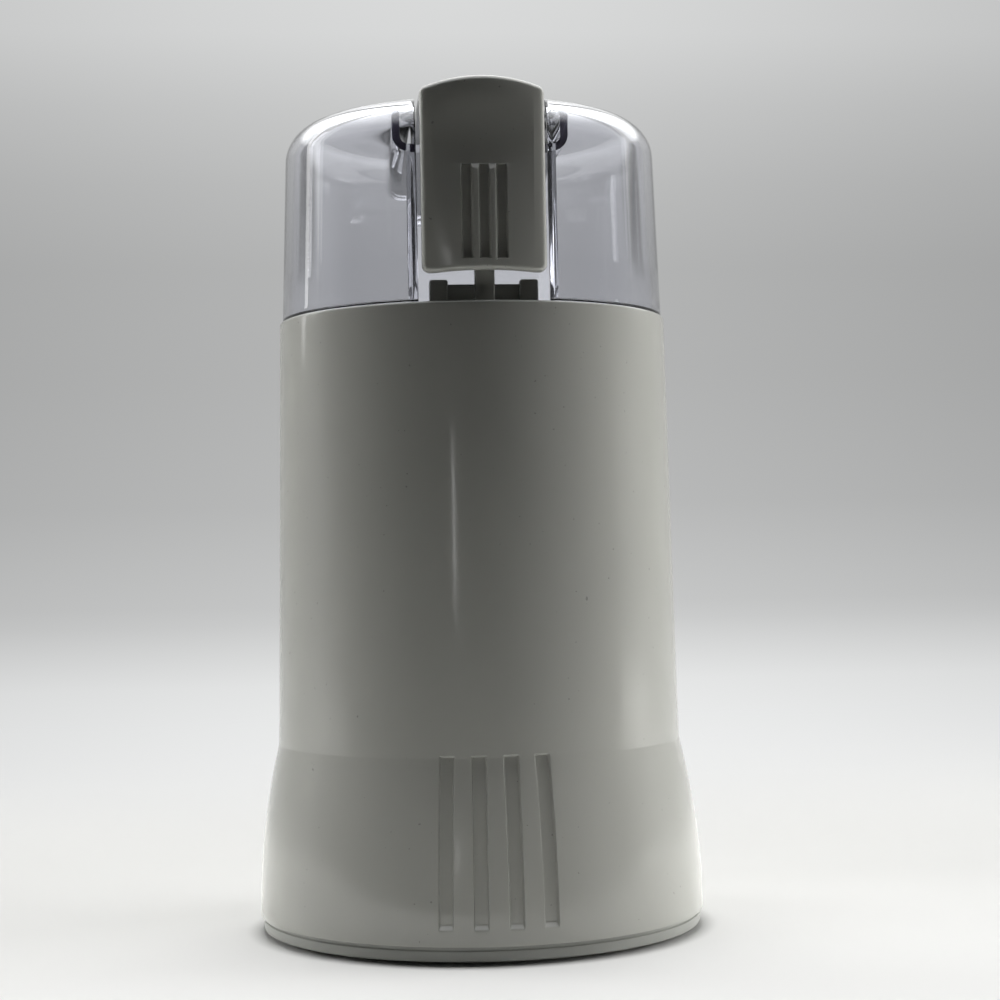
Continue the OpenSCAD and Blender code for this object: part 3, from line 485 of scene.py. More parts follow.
def ramp(colour_ramp, stops):
    """Sets a colour ramp's stops, given as (place, colour)."""
    while len(colour_ramp.elements) > 1:
        colour_ramp.elements.remove(colour_ramp.elements[-1])
    for i, (place, colour) in enumerate(stops):
        stop = colour_ramp.elements[0] if i == 0 else colour_ramp.elements.new(place)
        stop.position = place
        stop.color = colour


def rgba(colour, gain=1.0):
    """A colour times a gain, with full alpha."""
    return (colour[0] * gain, colour[1] * gain, colour[2] * gain, 1.0)


def moulded_plastic(name, colour, roughness, grain_mm=0.004, coat=0.0):
    """Glossy moulded plastic with slight flow marks, specks and a fine uneven gloss."""
    shade = Shade(name)
    flow = shade.noise(22, 4, (1, 1, 0.45))
    tone = shade.mix(flow.step(0.35, 0.7), rgba(colour, 0.965), rgba(colour, 1.02))
    speck = shade.noise(900, 1).step(0.775, 0.80)
    tone = shade.mix(speck * 0.5, tone, rgba(colour, 0.35))
    smear = shade.noise(60, 5, (1, 1, 0.3))
    rough = smear.step(0.3, 0.8) * 0.10 + roughness
    orange_peel = shade.bump(shade.noise(420, 2), grain_mm, 0.6)
    return shade.surface(Base_Color=tone, Roughness=rough, Normal=orange_peel, IOR=1.52,
                         Coat_Weight=coat, Coat_Roughness=0.18)


def clear_plastic(colour):
    """Clear styrene with a faint violet tint and hairline scratches."""
    shade = Shade("clear_plastic")
    haze = shade.noise(140, 4, (1, 1, 0.2))
    scratch = shade.noise(260, 2, (1, 1, 0.06)).step(0.66, 0.72)
    rough = scratch * 0.08 + haze.step(0.4, 0.9) * 0.03 + 0.02
    wave = shade.bump(shade.noise(35, 2, (1, 1, 0.5)), 0.02, 0.35)
    return shade.surface(Base_Color=rgba(colour), Roughness=rough, Normal=wave, IOR=1.55,
                         Transmission_Weight=1.0)


def turned_metal(name, colour, roughness):
    """Metal with fine rings of brushing round the axis."""
    shade = Shade(name)
    brushing = shade.noise(1400, 2, (0.02, 0.02, 1))
    tone = shade.mix(shade.noise(40, 3).step(0.3, 0.7), rgba(colour, 0.9), rgba(colour, 1.05))
    rough = brushing.step(0.2, 0.8) * 0.14 + roughness
    return shade.surface(Base_Color=tone, Roughness=rough, Metallic=1.0,
                         Normal=shade.bump(brushing, 0.004, 0.5))


def laminated_iron(name, colour):
    """A stack of thin sheets, seen as fine bands up the side."""
    shade = Shade(name)
    sheets = shade.bands(320, 0.3, 2)
    tone = shade.mix(sheets, rgba(colour, 0.6), rgba(colour, 1.1))
    return shade.surface(Base_Color=tone, Roughness=0.45, Metallic=0.9, Normal=shade.bump(sheets, 0.05, 0.7))


def wound_copper(name, colour):
    """Enamelled wire laid side by side."""
    shade = Shade(name)
    turns = shade.bands(420, 1.2, 1)
    tone = shade.mix(turns, rgba(colour, 0.45), rgba(colour, 1.1))
    return shade.surface(Base_Color=tone, Roughness=0.25, Metallic=0.85, Normal=shade.bump(turns, 0.12, 0.9))


def soft_rubber(name, colour):
    """Dark rubber with a dull, slightly mottled face."""
    shade = Shade(name)
    tone = shade.mix(shade.noise(300, 4).step(0.3, 0.8), rgba(colour), rgba(colour, 1.8))
    return shade.surface(Base_Color=tone, Roughness=0.75, Normal=shade.bump(shade.noise(1500, 2), 0.01, 0.5))


def dull_plastic(name, colour):
    """Plain plastic without much gloss."""
    shade = Shade(name)
    tone = shade.mix(shade.noise(80, 4).step(0.3, 0.8), rgba(colour, 0.88), rgba(colour, 1.1))
    return shade.surface(Base_Color=tone, Roughness=0.5, Normal=shade.bump(shade.noise(1200, 2), 0.01, 0.5))


FINISH = {}


def make_finishes():
    """Makes every material, under its own name. All but the dark painted shade for the channel's front end
    stand for a slot.
    """
    colours = bpy.context.scene.grinder_finishes
    FINISH.update({
        "body_plastic": moulded_plastic("body_plastic", colours.ivory, 0.09),
        "button_plastic": moulded_plastic("button_plastic", colours.ivory, 0.16, 0.005, 0.6),
        "base_plastic": moulded_plastic("base_plastic", colours.base, 0.3),
        "clear_plastic": clear_plastic(colours.clear),
        # painted shade: a dark violet dull plastic on the channel's front end, where clear plastic seen edge
        # on looks dark
        "channel_edge_painted_shade": dull_plastic("channel_edge_painted_shade", (0.11, 0.10, 0.15)),
        "nylon": dull_plastic("nylon", (0.72, 0.72, 0.68)),
        "black_plastic": dull_plastic("black_plastic", (0.03, 0.03, 0.033)),
        "rubber": soft_rubber("rubber", (0.035, 0.035, 0.035)),
        "stainless": turned_metal("stainless", (0.62, 0.62, 0.61), 0.2),
        "steel": turned_metal("steel", (0.52, 0.52, 0.53), 0.32),
        "iron": laminated_iron("iron", (0.22, 0.22, 0.24)),
        "copper": wound_copper("copper", (0.62, 0.28, 0.12)),
        "brass": turned_metal("brass", (0.66, 0.48, 0.2), 0.3),
        "carbon": dull_plastic("carbon", (0.02, 0.02, 0.02)),
        "wire": dull_plastic("wire", (0.38, 0.03, 0.025)),
    })


# Geometry Nodes: copies of one piece round the axis

RING_INPUTS = (("Geometry", "NodeSocketGeometry"), ("Count", "NodeSocketInt"), ("Radius", "NodeSocketFloat"),
               ("First Angle", "NodeSocketFloat"), ("Material", "NodeSocketMaterial"))


def ring_tree():
    """A node tree that sets copies of a piece round the axis at even steps."""
    tree = bpy.data.node_groups.new("ring_of_copies", "GeometryNodeTree")
    for name, kind in RING_INPUTS:
        tree.interface.new_socket(name, in_out="INPUT", socket_type=kind)
    tree.interface.new_socket("Geometry", in_out="OUTPUT", socket_type="NodeSocketGeometry")
    nodes = Nodes(tree)
    piece, count, radius, first, material = nodes.outputs(nodes.node("NodeGroupInput"))[:len(RING_INPUTS)]
    index = nodes.node("GeometryNodeInputIndex")
    step = 2 * math.pi / count
    turned = nodes.node("ShaderNodeMath", {"operation": "MULTIPLY_ADD"}, {0: index, 1: step, 2: first})
    spin = nodes.node("ShaderNodeCombineXYZ", {}, {"Z": turned})
    reach = nodes.node("ShaderNodeCombineXYZ", {}, {"X": radius})
    place = nodes.node("ShaderNodeVectorRotate", {"rotation_type": "EULER_XYZ"},
                       {"Vector": reach, "Rotation": spin})
    points = nodes.node("GeometryNodePoints", {}, {"Count": count, "Position": place})
    copies = nodes.node("GeometryNodeInstanceOnPoints", {}, {
        "Points": points, "Instance": piece, "Rotation": spin})
    real = nodes.node("GeometryNodeRealizeInstances", {}, {"Geometry": copies})
    painted = nodes.node("GeometryNodeSetMaterial", {}, {"Geometry": real, "Material": material})
    nodes.node("NodeGroupOutput", {}, {"Geometry": painted})
    return tree


def ring_of(obj, count, radius_mm, first_deg, material):
    """Turns a piece made at the origin into count copies round the axis."""
    tree = bpy.data.node_groups.get("ring_of_copies") or ring_tree()
    mod = obj.modifiers.new("Ring", "NODES")
    mod.node_group = tree
    values = {"Count": count, "Radius": radius_mm * MM, "First Angle": math.radians(first_deg)}
    values["Material"] = material
    for item in tree.interface.items_tree:
        if item.in_out == "INPUT" and item.name in values:
            mod[item.identifier] = values[item.name]
    settle(obj)
    return obj


# Pieces

def soft_step(t):
    """Rises smoothly from 0 to 1."""
    t = min(max(t, 0), 1)
    return t * t * (3 - 2 * t)


def sleeve_radius(size, z):
    """The sleeve's outer radius at a height."""
    return size.rim_r + (size.rim_z - z) * (size.crease_r - size.rim_r) / (size.rim_z - size.crease_z)


def skirt_radius(size, z):
    """The skirt's outer radius at a height."""
    return size.skirt_r - size.skirt_bulge + math.sqrt(size.skirt_bulge ** 2 - (z - size.seam_z) ** 2)


def with_rows(outline, heights):
    """The rising outline with more points where it passes the given heights."""
    points = [outline[0]]
    for (r0, z0), (r1, z1) in zip(outline, outline[1:]):
        between = sorted(z for z in heights if z0 + 0.01 < z < z1 - 0.01)
        points += [(r0 + (r1 - r0) * (z - z0) / (z1 - z0), z) for z in between]
        points.append((r1, z1))
    return points


def sleeve_inside(size, z):
    """The sleeve's inner radius at a height."""
    return sleeve_radius(size, z) - size.wall


def housing_outline(size):
    """The housing's wall in section, as (radius, height), and the number of its rows on the outside."""
    edge, edge_step = 0.35, 0.1
    skirt_rows = [size.seam_z + edge, 5.2, 6.4] + [9.9 + 1.6 * k for k in range(20)] + [40.6]
    groove_rows = [size.groove_z + d for d in (-1.3, -1.05, -0.85, -0.6, -0.3, 0.0, 0.15, 0.3)]
    groove_rows += [size.crease_z + d for d in (0.1, 0.2, 0.35, 0.5, 0.6, 0.75)]
    crease_low, crease_top, crease_out, crease_round = 40.9, 47, 0.08, 2.6
    outer = [(size.skirt_r - edge, size.seam_z), (size.skirt_r - edge_step, size.seam_z + edge_step)]
    outer += [(skirt_radius(size, z), z) for z in skirt_rows]
    outer += fillet([
        (skirt_radius(size, crease_low), crease_low, 0),
        (size.crease_r + crease_out, size.crease_z, crease_round),
        (sleeve_radius(size, crease_top), crease_top, 0)], 6, closed=False)
    outer += [(sleeve_radius(size, z), z) for z in range(52, 136, 6)]
    outer = with_rows(outer, groove_rows)
    return outer + housing_rim(size) + skirt_inside(size), len(outer)


def housing_rim(size):
    """The rim, the ledge under the deck and the straight part of the sleeve's inside."""
    rim_in, rim_low, sleeve_top, sleeve_low = size.rim_r - size.wall, 134, 136, 60
    ledge_r, ledge_low, ledge_foot, ledge_end = 41.5, 130.7, 129.8, 129
    return fillet([
        (sleeve_radius(size, sleeve_top), sleeve_top, 0), (size.rim_r, size.rim_z, 0.6),
        (rim_in, size.rim_z, 0.4), (rim_in, rim_low, 0.2), (sleeve_inside(size, DECK_LOW), DECK_LOW, 0.1),
        (ledge_r, DECK_LOW, 0.3), (ledge_r, ledge_low, 0.3),
        (sleeve_inside(size, ledge_end), ledge_foot, 0.3),
        (sleeve_inside(size, sleeve_low), sleeve_low, 0)], 5, closed=False)


def skirt_inside(size):
    """The skirt's inside, from the crease down to the seam."""
    rows = (38, 32, 26, 20, 14, 10, 8.5, 7.5, 6.4, 6.0, 5.0)
    crease = [(sleeve_inside(size, size.crease_z), size.crease_z)]
    seam = [(size.skirt_r - size.wall, size.seam_z)]
    return crease + [(skirt_radius(size, z) - size.wall, z) for z in rows] + seam


def groove_angles(size):
    """The angles of the skirt grooves. The front is at -90 degrees."""
    middle = (size.groove_count - 1) / 2
    return [math.radians(-90 + (i - middle) * size.groove_step) for i in range(size.groove_count)]


def housing_shape(size, outer_rows):
    """The radius of the housing by angle: shallow grooves in the skirt, from the crease to a sloped end."""
    angles = groove_angles(size)
    edge, tuck = 0.17, 0.05
    low_reach, low_slope = 1.05, 1.2
    high_reach, high_slope = 0.6, 0.5
    half = size.groove_w / 2 - tuck

    def shape(radius, z, turn, row):
        if row >= outer_rows or z > size.crease_z + high_reach:
            return radius
        near = min(abs(math.remainder(turn - a, 2 * math.pi)) for a in angles) * radius
        across = soft_step((half + edge - near) / (2 * edge))
        low = soft_step((z - size.groove_z + low_reach) / low_slope)
        high = soft_step((size.crease_z + high_reach - z) / high_slope)
        return radius - size.groove_depth * across * low * high

    return shape


def groove_turns(size):
    """Angles round the housing, closer together at the grooves' edges."""
    steps = (-0.9, -0.5, -0.3, -0.22, -0.16, -0.1, -0.05, 0.0, 0.06, 0.12, 0.3, 0.5, 0.9)
    middle_r, closest = 48.5, 1e-4
    turns = set(even_turns(180))
    for angle in groove_angles(size):
        for side in (-1, 1):
            for step in steps:
                turns.add((angle + side * (size.groove_w / 2 + step) / middle_r) % (2 * math.pi))
    ordered = sorted(turns)
    return [t for i, t in enumerate(ordered) if i == 0 or t - ordered[i - 1] > closest]


class GRINDER_OT_housing(bpy.types.Operator):
    """Builds the housing with its skirt grooves, cord notch and screw bosses"""

    bl_idname = "grinder.housing"
    bl_label = "Housing"

    def execute(self, context):
        size = context.scene.grinder_housing
        notch_half, notch_in, notch_low, notch_top = 4, 35, 2, 20
        gap_half, gap_front, gap_back, gap_low, gap_top = 12.7, -42.4, -30, 128, 132.5
        boss_low, boss_top = 6.1, 42
        outline, outer_rows = housing_outline(size)
        shell = lathe("housing_shell", outline, groove_turns(size), housing_shape(size, outer_rows), 50)
        notch = box_outline(-notch_half, notch_half, notch_in, OUTSIDE, 0.2)
        cut(shell, extrude("cord_notch", notch, "Z", notch_low, notch_top))
        gap = rounded_box("ledge_gap", (-gap_half, gap_front, gap_low), (gap_half, gap_back, gap_top), 0.2)
        cut(shell, gap)
        join(shell, *screw_bosses(SCREW_AWAY, boss_low, boss_top))
        finish(shell, FINISH["body_plastic"], "base", "housing")
        return {"FINISHED"}


def deck_ring():
    """The ring that carries the bowl, with the motor's bosses under it and a gap for the switch holder."""
    hole_r, seat_r, seat_top = 31, 33, 136.2
    gap_half, gap_front, gap_back, gap_low, gap_top = 11.72, -50, -33.58, 130, 134.9
    boss_away, boss_low, boss_top = 37, 93.1, 132.4
    ring = lathe("deck_ring", fillet([
        (hole_r, DECK_LOW, 0.2), (DECK_R, DECK_LOW, 0.2), (DECK_R, DECK_TOP, 0.2), (seat_r, DECK_TOP, 0.3),
        (seat_r, seat_top, 0.3), (hole_r, seat_top, 0.3)], 4))
    gap = box_outline(-gap_half, gap_half, gap_front, gap_back)
    cut(ring, extrude("holder_gap", gap, "Z", gap_low, gap_top))
    join(ring, *screw_bosses(boss_away, boss_low, boss_top))
    return ring


def switch_holder():
    """The chute for the button's leg, its foot and rib, and the two posts with the wall between them."""
    half, front, back, low = 11.7, -50, -33.6, 124
    foot_back, foot_top = -32.7, 126
    well_half, wall_front, wall_back = 7.7, -36.3, -35.5
    rod_y, rod_hole_r = -39.2, 1.68
    rib_half, rib_front, rib_low, rib_top = 11, -34.1, 102, 125.5
    post_x, post_half, post_front, post_low, post_top = 9.7, 2, -39.2, 133.9, 144
    wall_half, wall_top = 8.2, 143.3
    below, above, inside_top = 120, 150, 140
    holder = rounded_box("plunger_chute", (-half, front, low), (half, back, DECK_TOP), 0.1, 1)
    cut(holder, rounded_box("foot", (-half, front, low), (half, foot_back, foot_top), 0.1, 1), "UNION")
    inside = lathe("sleeve_inside", [(0, below), (DECK_R, below), (DECK_R, inside_top), (0, inside_top)])
    cut(holder, inside, "INTERSECT")
    well = box_outline(-well_half, well_half, -OUTSIDE, wall_front)
    cut(holder, extrude("well", well, "Z", foot_top, above))
    cut(holder, extrude("rod_hole", circle(0, rod_y, rod_hole_r), "Z", below, foot_top + 4))
    rib = rounded_box("switch_rib", (-rib_half, rib_front, rib_low), (rib_half, foot_back, rib_top), 0.15, 2)
    wall = rounded_box("cross_wall", (-wall_half, wall_front, foot_top), (wall_half, wall_back, wall_top),
                       0.15, 2)
    join(holder, rib, wall)
    for x in (-post_x, post_x):
        low_corner = (x - post_half, post_front, post_low)
        join(holder, rounded_box("post", low_corner, (x + post_half, wall_back, post_top), 0.55))
    return holder


class GRINDER_OT_deck(bpy.types.Operator):
    """Builds the deck under the lid and the switch holder with its posts"""

    bl_idname = "grinder.deck"
    bl_label = "Deck and switch holder"

    def execute(self, context):
        finish(deck_ring(), FINISH["body_plastic"], "base", "deck")
        finish(switch_holder(), FINISH["body_plastic"], "base", "switch_holder")
        return {"FINISHED"}


def base_ring():
    """The base plate with its lip, vents and foot seats."""
    hole_r, plate_r, plate_low, plate_top = 3, 50.1, 0.8, 3.9
    lip_r, lip_low, lip_edge = 49.75, 3.0, 3.2
    spigot_r, spigot_in, spigot_top = 48.25, 46.65, 5.4
    vent_rings, vents, vent_in, vent_out, vent_half = (14, 21, 28), 12, -2, 2.5, 1
    seat_r, seat_top = 5.02, 2
    plate = lathe("base_ring", fillet([
        (hole_r, plate_low, 0.1), (plate_r, plate_low, 0.5), (plate_r, lip_low, 0.12), (lip_r, lip_edge, 0.1),
        (lip_r, plate_top, 0.1), (spigot_r, plate_top, 0.1), (spigot_r, spigot_top, 0.2),
        (spigot_in, spigot_top, 0.2), (spigot_in, plate_top, 0.2), (hole_r, plate_top, 0.1)], 4))
    for away in vent_rings:
        vent = rounded_box("vent", (vent_in, -vent_half, 0), (vent_out, vent_half, 6), 0.45)
        cut(plate, ring_of(vent, vents, away, 0, FINISH["base_plastic"]))
    seat = extrude("foot_seat", circle(0, 0, seat_r, 48), "Z", 0, seat_top)
    cut(plate, ring_of(seat, SCREWS, SCREW_AWAY, FIRST_SCREW_DEG, FINISH["base_plastic"]))
    return plate


def base_screws():
    """The screws that hold the base plate, as one piece."""
    head_r, head_low, head_edge, head_top = 2.8, 1.2, 1.6, 2.0
    shank_r, shank_top = 1.5, 16.6
    screw = lathe("screw", fillet([
        (0, head_low, 0), (head_r, head_low, 0.2), (head_r, head_edge, 0.3), (shank_r, head_top, 0.1),
        (shank_r, shank_top, 0.2), (0, shank_top, 0)], 4), even_turns(32))
    ring_of(screw, SCREWS, SCREW_AWAY, FIRST_SCREW_DEG, FINISH["steel"])
    screw.name = "base_screw_set"
    return screw


class GRINDER_OT_base(bpy.types.Operator):
    """Builds the base plate with its vents and screws"""

    bl_idname = "grinder.base"
    bl_label = "Base plate"

    def execute(self, context):
        finish(base_ring(), FINISH["base_plastic"], "base", "base_plate")
        finish(base_screws(), FINISH["steel"], "base", "base_screws")
        return {"FINISHED"}


def lid_side(size, z):
    """The lid's outer radius at a height."""
    return size.low_r - (z - RIM_Z) * (size.low_r - size.top_r) / (size.top_z - size.shoulder_r - RIM_Z)


def lid_outline(size):
    """The clear lid's wall in section, from the axis out over the top and back inside."""
    shoulder_z = size.top_z - size.shoulder_r
    centre_r = size.top_r - size.shoulder_r
    inner_z, wall = size.top_z - size.wall, size.wall
    foot_top, side_low, bend_low, bend_top = 141, 150, 139.3, 139.7
    spigot_r, spigot_low = 41.95, 135.4
    outer = [(r, size.top_z) for r in (0, 12, 24)]
    outer += arc(centre_r, shoulder_z, size.shoulder_r, 90, 0, 14)
    outer += [(lid_side(size, z), z) for z in (170, 160, 150, 142)]
    foot = fillet([
        (lid_side(size, foot_top), foot_top, 0), (size.low_r, RIM_Z, 0.12), (spigot_r, RIM_Z, 0.1),
        (spigot_r, spigot_low, 0.4), (spigot_r - wall, spigot_low, 0.4), (spigot_r - wall, bend_low, 0.3),
        (lid_side(size, RIM_Z) - wall, bend_top, 0.3), (lid_side(size, side_low) - wall, side_low, 0)],
        4, closed=False)
    inner = [(lid_side(size, z) - wall, z) for z in (160, 170)]
    inner += arc(centre_r, shoulder_z, size.shoulder_r - wall, 0, 90, 14)
    inner += [(r, inner_z) for r in (24, 12, 0)]
    return outer + foot + inner


def channel_outline(size, inset):
    """The channel from the front: a U open at the top, or its trough when an inset is given."""
    half = size.channel_w / 2 - inset
    low = size.top_z - size.channel_depth + inset
    corner = size.channel_round - inset
    top = size.top_z - size.wall - LID_GAP + 2 * inset
    return fillet([(-half, top, 0), (-half, low, corner), (half, low, corner), (half, top, 0)], 10)


def recess_outline(size):
    """The wall that closes the lid's front slot behind the button, from above."""
    front, back, jamb_y = -size.recess_y, -33.5, -41
    inner, outer, outer_back = 15.1, 15.7, 15.9
    return fillet([
        (-inner, jamb_y, 0), (-inner, front, 0.6), (inner, front, 0.6), (inner, jamb_y, 0),
        (outer, jamb_y, 0), (outer_back, back, 1.0), (-outer_back, back, 1.0), (-outer, jamb_y, 0)], 5)


def lid_inside_outline(size):
    """The room inside the lid, in section, that the channel has to stay in."""
    inset = size.wall + LID_GAP
    foot_r, foot_low, foot_top = 39.9, 135, 140.6
    room = [(0, foot_low), (foot_r, foot_low), (foot_r, foot_top)]
    room += [(lid_side(size, z) - inset, z) for z in (142.4, 160, 170)]
    centre_r, shoulder_z = size.top_r - size.shoulder_r, size.top_z - size.shoulder_r
    room += arc(centre_r, shoulder_z, size.shoulder_r - inset, 0, 90, 12)
    return room + [(0, size.top_z - inset)]


def split_at(bm, spot, way):
    """Splits every face that a plane crosses. The plane's point is in millimetres."""
    bmesh.ops.bisect_plane(bm, geom=bm.verts[:] + bm.edges[:] + bm.faces[:], dist=SAME_POINT,
                           plane_co=[c * MM for c in spot], plane_no=way)


def paint_front_shade(obj, front, low, half):
    """Paints the channel's front end dark: painted shade that stands in for the dark look of thick clear
    plastic seen edge on.
    """
    bm = bmesh.new()
    bm.from_mesh(obj.data)
    split_at(bm, (-half, 0, 0), (1, 0, 0))
    split_at(bm, (half, 0, 0), (1, 0, 0))
    split_at(bm, (0, 0, low), (0, 0, 1))
    bm.to_mesh(obj.data)
    bm.free()
    # painted shade: the front faces take the dark material instead of the clear one
    obj.data.materials.append(FINISH["channel_edge_painted_shade"])
    for face in obj.data.polygons:
        spot = face.center / MM
        ahead = face.normal.y < -0.6 and front - 0.2 < spot.y < front + 0.3
        if ahead and spot.z > low and abs(spot.x) > half:
            face.material_index = 1


class GRINDER_OT_lid(bpy.types.Operator):
    """Builds the clear lid with its slot, and the channel under the slot"""

    bl_idname = "grinder.lid"
    bl_label = "Lid"

    def execute(self, context):
        size = context.scene.grinder_lid
        half, front = size.slot_w / 2, -size.recess_y
        slot_back, slot_low, front_slot_in = 24.4, 179, -34.2
        below, above = 130, 190
        channel_back, trough_back, dark_low = 27, 25.4, 172
        recess_low, recess_top, hole_r = 135.6, 173.3, 1.53
        shell = lathe("lid_shell", lid_outline(size), even_turns(200), None, 35)
        top_slot = box_outline(-half, half, -OUTSIDE, slot_back, 0.01)
        cut(shell, extrude("top_slot", top_slot, "Z", slot_low, above))
        front_slot = box_outline(-half, half, below, above, 0.01)
        cut(shell, extrude("front_slot", front_slot, "Y", -OUTSIDE, front_slot_in))
        bevel(shell, 0.25, 2, 50)
        finish(shell, FINISH["clear_plastic"], "lid", "lid")
        channel = extrude("lid_insert", channel_outline(size, 0), "Y", front, channel_back)
        cut(channel, extrude("trough", channel_outline(size, size.channel_wall), "Y", front - 1, trough_back))
        cut(channel, extrude("recess", recess_outline(size), "Z", recess_low, recess_top), "UNION")
        cut(channel, lathe("inside", lid_inside_outline(size)), "INTERSECT")
        cut(channel, extrude("pin_hole", circle(PIN_Y, PIN_Z, hole_r), "X", -BORE_REACH, BORE_REACH))
        bevel(channel, 0.2, 2, 50)
        finish(channel, FINISH["clear_plastic"], "lid", "lid_channel")
        paint_front_shade(channel, front, dark_low, half)
        return {"FINISHED"}


def front_view(size):
    """The button seen from the front: a crowned top, rounded corners and a slightly arched lower edge."""
    half = size.width / 2
    corner, crown_end = 1.7, 3
    arch_half, arch_rise = 10.5, 0.45
    crown_r = (half ** 2 + size.crown_drop ** 2) / (2 * size.crown_drop)
    spread = math.degrees(math.asin((half - crown_end) / crown_r))
    top = arc(0, size.top_z - crown_r, crown_r, 90 - spread, 90 + spread, 20)
    side_top = size.top_z - size.crown_drop
    low = size.low_z
    arch = [(x, low + arch_rise * (1 - (x / arch_half) ** 2), 0) for x in range(-9, 10, 3)]
    return fillet([(half, side_top, corner)] + [(x, z, 0) for x, z in top] + [
        (-half, side_top, corner), (-half, low, corner), (-arch_half, low, 0)] + arch + [
        (arch_half, low, 0), (half, low, corner)], 6)


def curve_front(obj, radius_mm):
    """Bends the flat front of a piece round the axis, in narrow upright strips."""
    strip, strips_each_side, back_y = 0.5, 26, -0.02
    bm = bmesh.new()
    bm.from_mesh(obj.data)
    for k in range(-strips_each_side, strips_each_side + 1):
        split_at(bm, (k * strip, 0, 0), (1, 0, 0))
    radius = radius_mm * MM
    for vert in bm.verts:
        if vert.co.y < back_y:
            vert.co.y += radius - math.sqrt(radius ** 2 - vert.co.x ** 2)
    bmesh.ops.triangulate(bm, faces=[face for face in bm.faces if len(face.verts) > 4])
    bm.to_mesh(obj.data)
    bm.free()


def button_groove(size, x):
    """Cutter for one groove: soft lips, walls with draft and a sloped lower end."""
    half, depth = size.groove_w / 2, size.groove_depth
    ahead, into_dish, end_slope = -46.5, 1.6, 0.45
    skin = -math.sqrt(size.front_r ** 2 - x ** 2)
    side = [(half + 0.5, ahead), (half + 0.5, skin - 0.02), (half + 0.22, skin + 0.1),
            (half + 0.05, skin + 0.32), (half - 0.2, skin + depth)]
    outline = [(x - w, y) for w, y in side] + [(x + w, y) for w, y in reversed(side)]
    low, high = size.groove_low_z, size.dish_z - size.dish_half_h + into_dish
    cutter = extrude("groove", outline, "Z", low, high)
    for vert in cutter.data.vertices:
        if vert.co.z < (low + 1) * MM and vert.co.y < (skin + 0.05) * MM:
            vert.co.z -= end_slope * MM
    return cutter


def button_plate(size):
    """The button's curved front and its arm over the lid, hollow underneath."""
    tail_y, tail_r = 23, 5
    arm_low, arm_front, plate = 180.2, -30, 2.4
    hollow_half, hollow_front, hollow_back, hollow_low, hollow_top = 11.35, -39.9, 16, 170, 182.4
    ahead, below, above, side = -46, 140, 190, 20
    body = extrude("button_lever", front_view(size), "Y", -size.front_r, tail_y)
    bevel(body, size.edge, 5, 50)
    curve_front(body, size.front_r)
    side_view = fillet([
        (ahead, below, 0), (ahead, above, 0), (tail_y, size.top_z + 0.01, tail_r), (tail_y, arm_low, 0.6),
        (arm_front, arm_low, 0), (arm_front, below, 0)], 10)
    cut(body, extrude("side", side_view, "X", -side, side), "INTERSECT")
    back_r = size.front_r - plate
    cut(body, lathe("behind", [(0, 130), (back_r, 130), (back_r, arm_low), (0, arm_low)], even_turns(256)))
    hollow = box_outline(-hollow_half, hollow_half, hollow_front, hollow_back, 0.8)
    cut(body, extrude("hollow", hollow, "Z", hollow_low, hollow_top))
    dish_r = (size.dish_half_h ** 2 + size.dish_depth ** 2) / (2 * size.dish_depth)
    dish_y = -size.front_r + size.dish_depth - dish_r
    dish = arc(dish_y, size.dish_z, dish_r, -40, 40, 80) + [(dish_y, size.dish_z)]
    cut(body, extrude("dish", dish, "X", -side, side))
    for i in (-1, 0, 1):
        cut(body, button_groove(size, i * size.groove_pitch))
    return body


def button_hub():
    """The hub that turns on the hinge pin, and the web that joins it to the arm."""
    hub_r, hub_half, bore_r = 3, 15.2, 1.54
    web_half, web_reach, web_top = 13.2, 2.8, 182.5
    hub = extrude("hub", circle(PIN_Y, PIN_Z, hub_r, 40), "X", -hub_half, hub_half)
    low_corner, high_corner = (-web_half, PIN_Y - web_reach, PIN_Z), (web_half, PIN_Y + web_reach, web_top)
    web = rounded_box("hub_web", low_corner, high_corner, 0.3)
    for piece in (hub, web):
        cut(piece, extrude("bore", circle(PIN_Y, PIN_Z, bore_r), "X", -BORE_REACH, BORE_REACH))
    return hub, web


class GRINDER_OT_button(bpy.types.Operator):
    """Builds the press button with its dish, grooves, arm, hub and leg"""

    bl_idname = "grinder.button"
    bl_label = "Button"

    def execute(self, context):
        half = 2.15
        leg_front, leg_back, leg_low, leg_top = -41.6, -39.4, 136, 181.5
        web_front, web_back, web_low, web_top = -44, -41, 149, 181
        body = button_plate(context.scene.grinder_button)
        leg = rounded_box("leg", (-half, leg_front, leg_low), (half, leg_back, leg_top), 0.35)
        web = rounded_box("web", (-half, web_front, web_low), (half, web_back, web_top), 0.3)
        join(body, *button_hub(), leg, web)
        finish(body, FINISH["button_plastic"], "button", "button")
        return {"FINISHED"}


def steel_bowl():
    """The pressed bowl, from the hole for the shaft up to its turned rim."""
    floor, rim, r, wall, corner = 100.1, 137.6, 30, 0.6, 7
    hole_r, side_z, rim_r, fold_r = 4.5, 120, 33, 0.29
    outline = [(hole_r, floor)]
    outline += arc(r - corner, floor + corner + wall, corner + wall, 270, 360, 10)
    outline += fillet([
        (r + wall, side_z, 0), (r + wall, rim - wall, 0.3), (rim_r, rim - wall, fold_r), (rim_r, rim, fold_r),
        (r, rim, 0.9), (r, side_z, 0)], 5, closed=False)
    outline += arc(r - corner, floor + wall + corner, corner, 360, 270, 10)
    outline.append((hole_r, floor + wall))
    return lathe("steel_bowl", outline, even_turns(160))


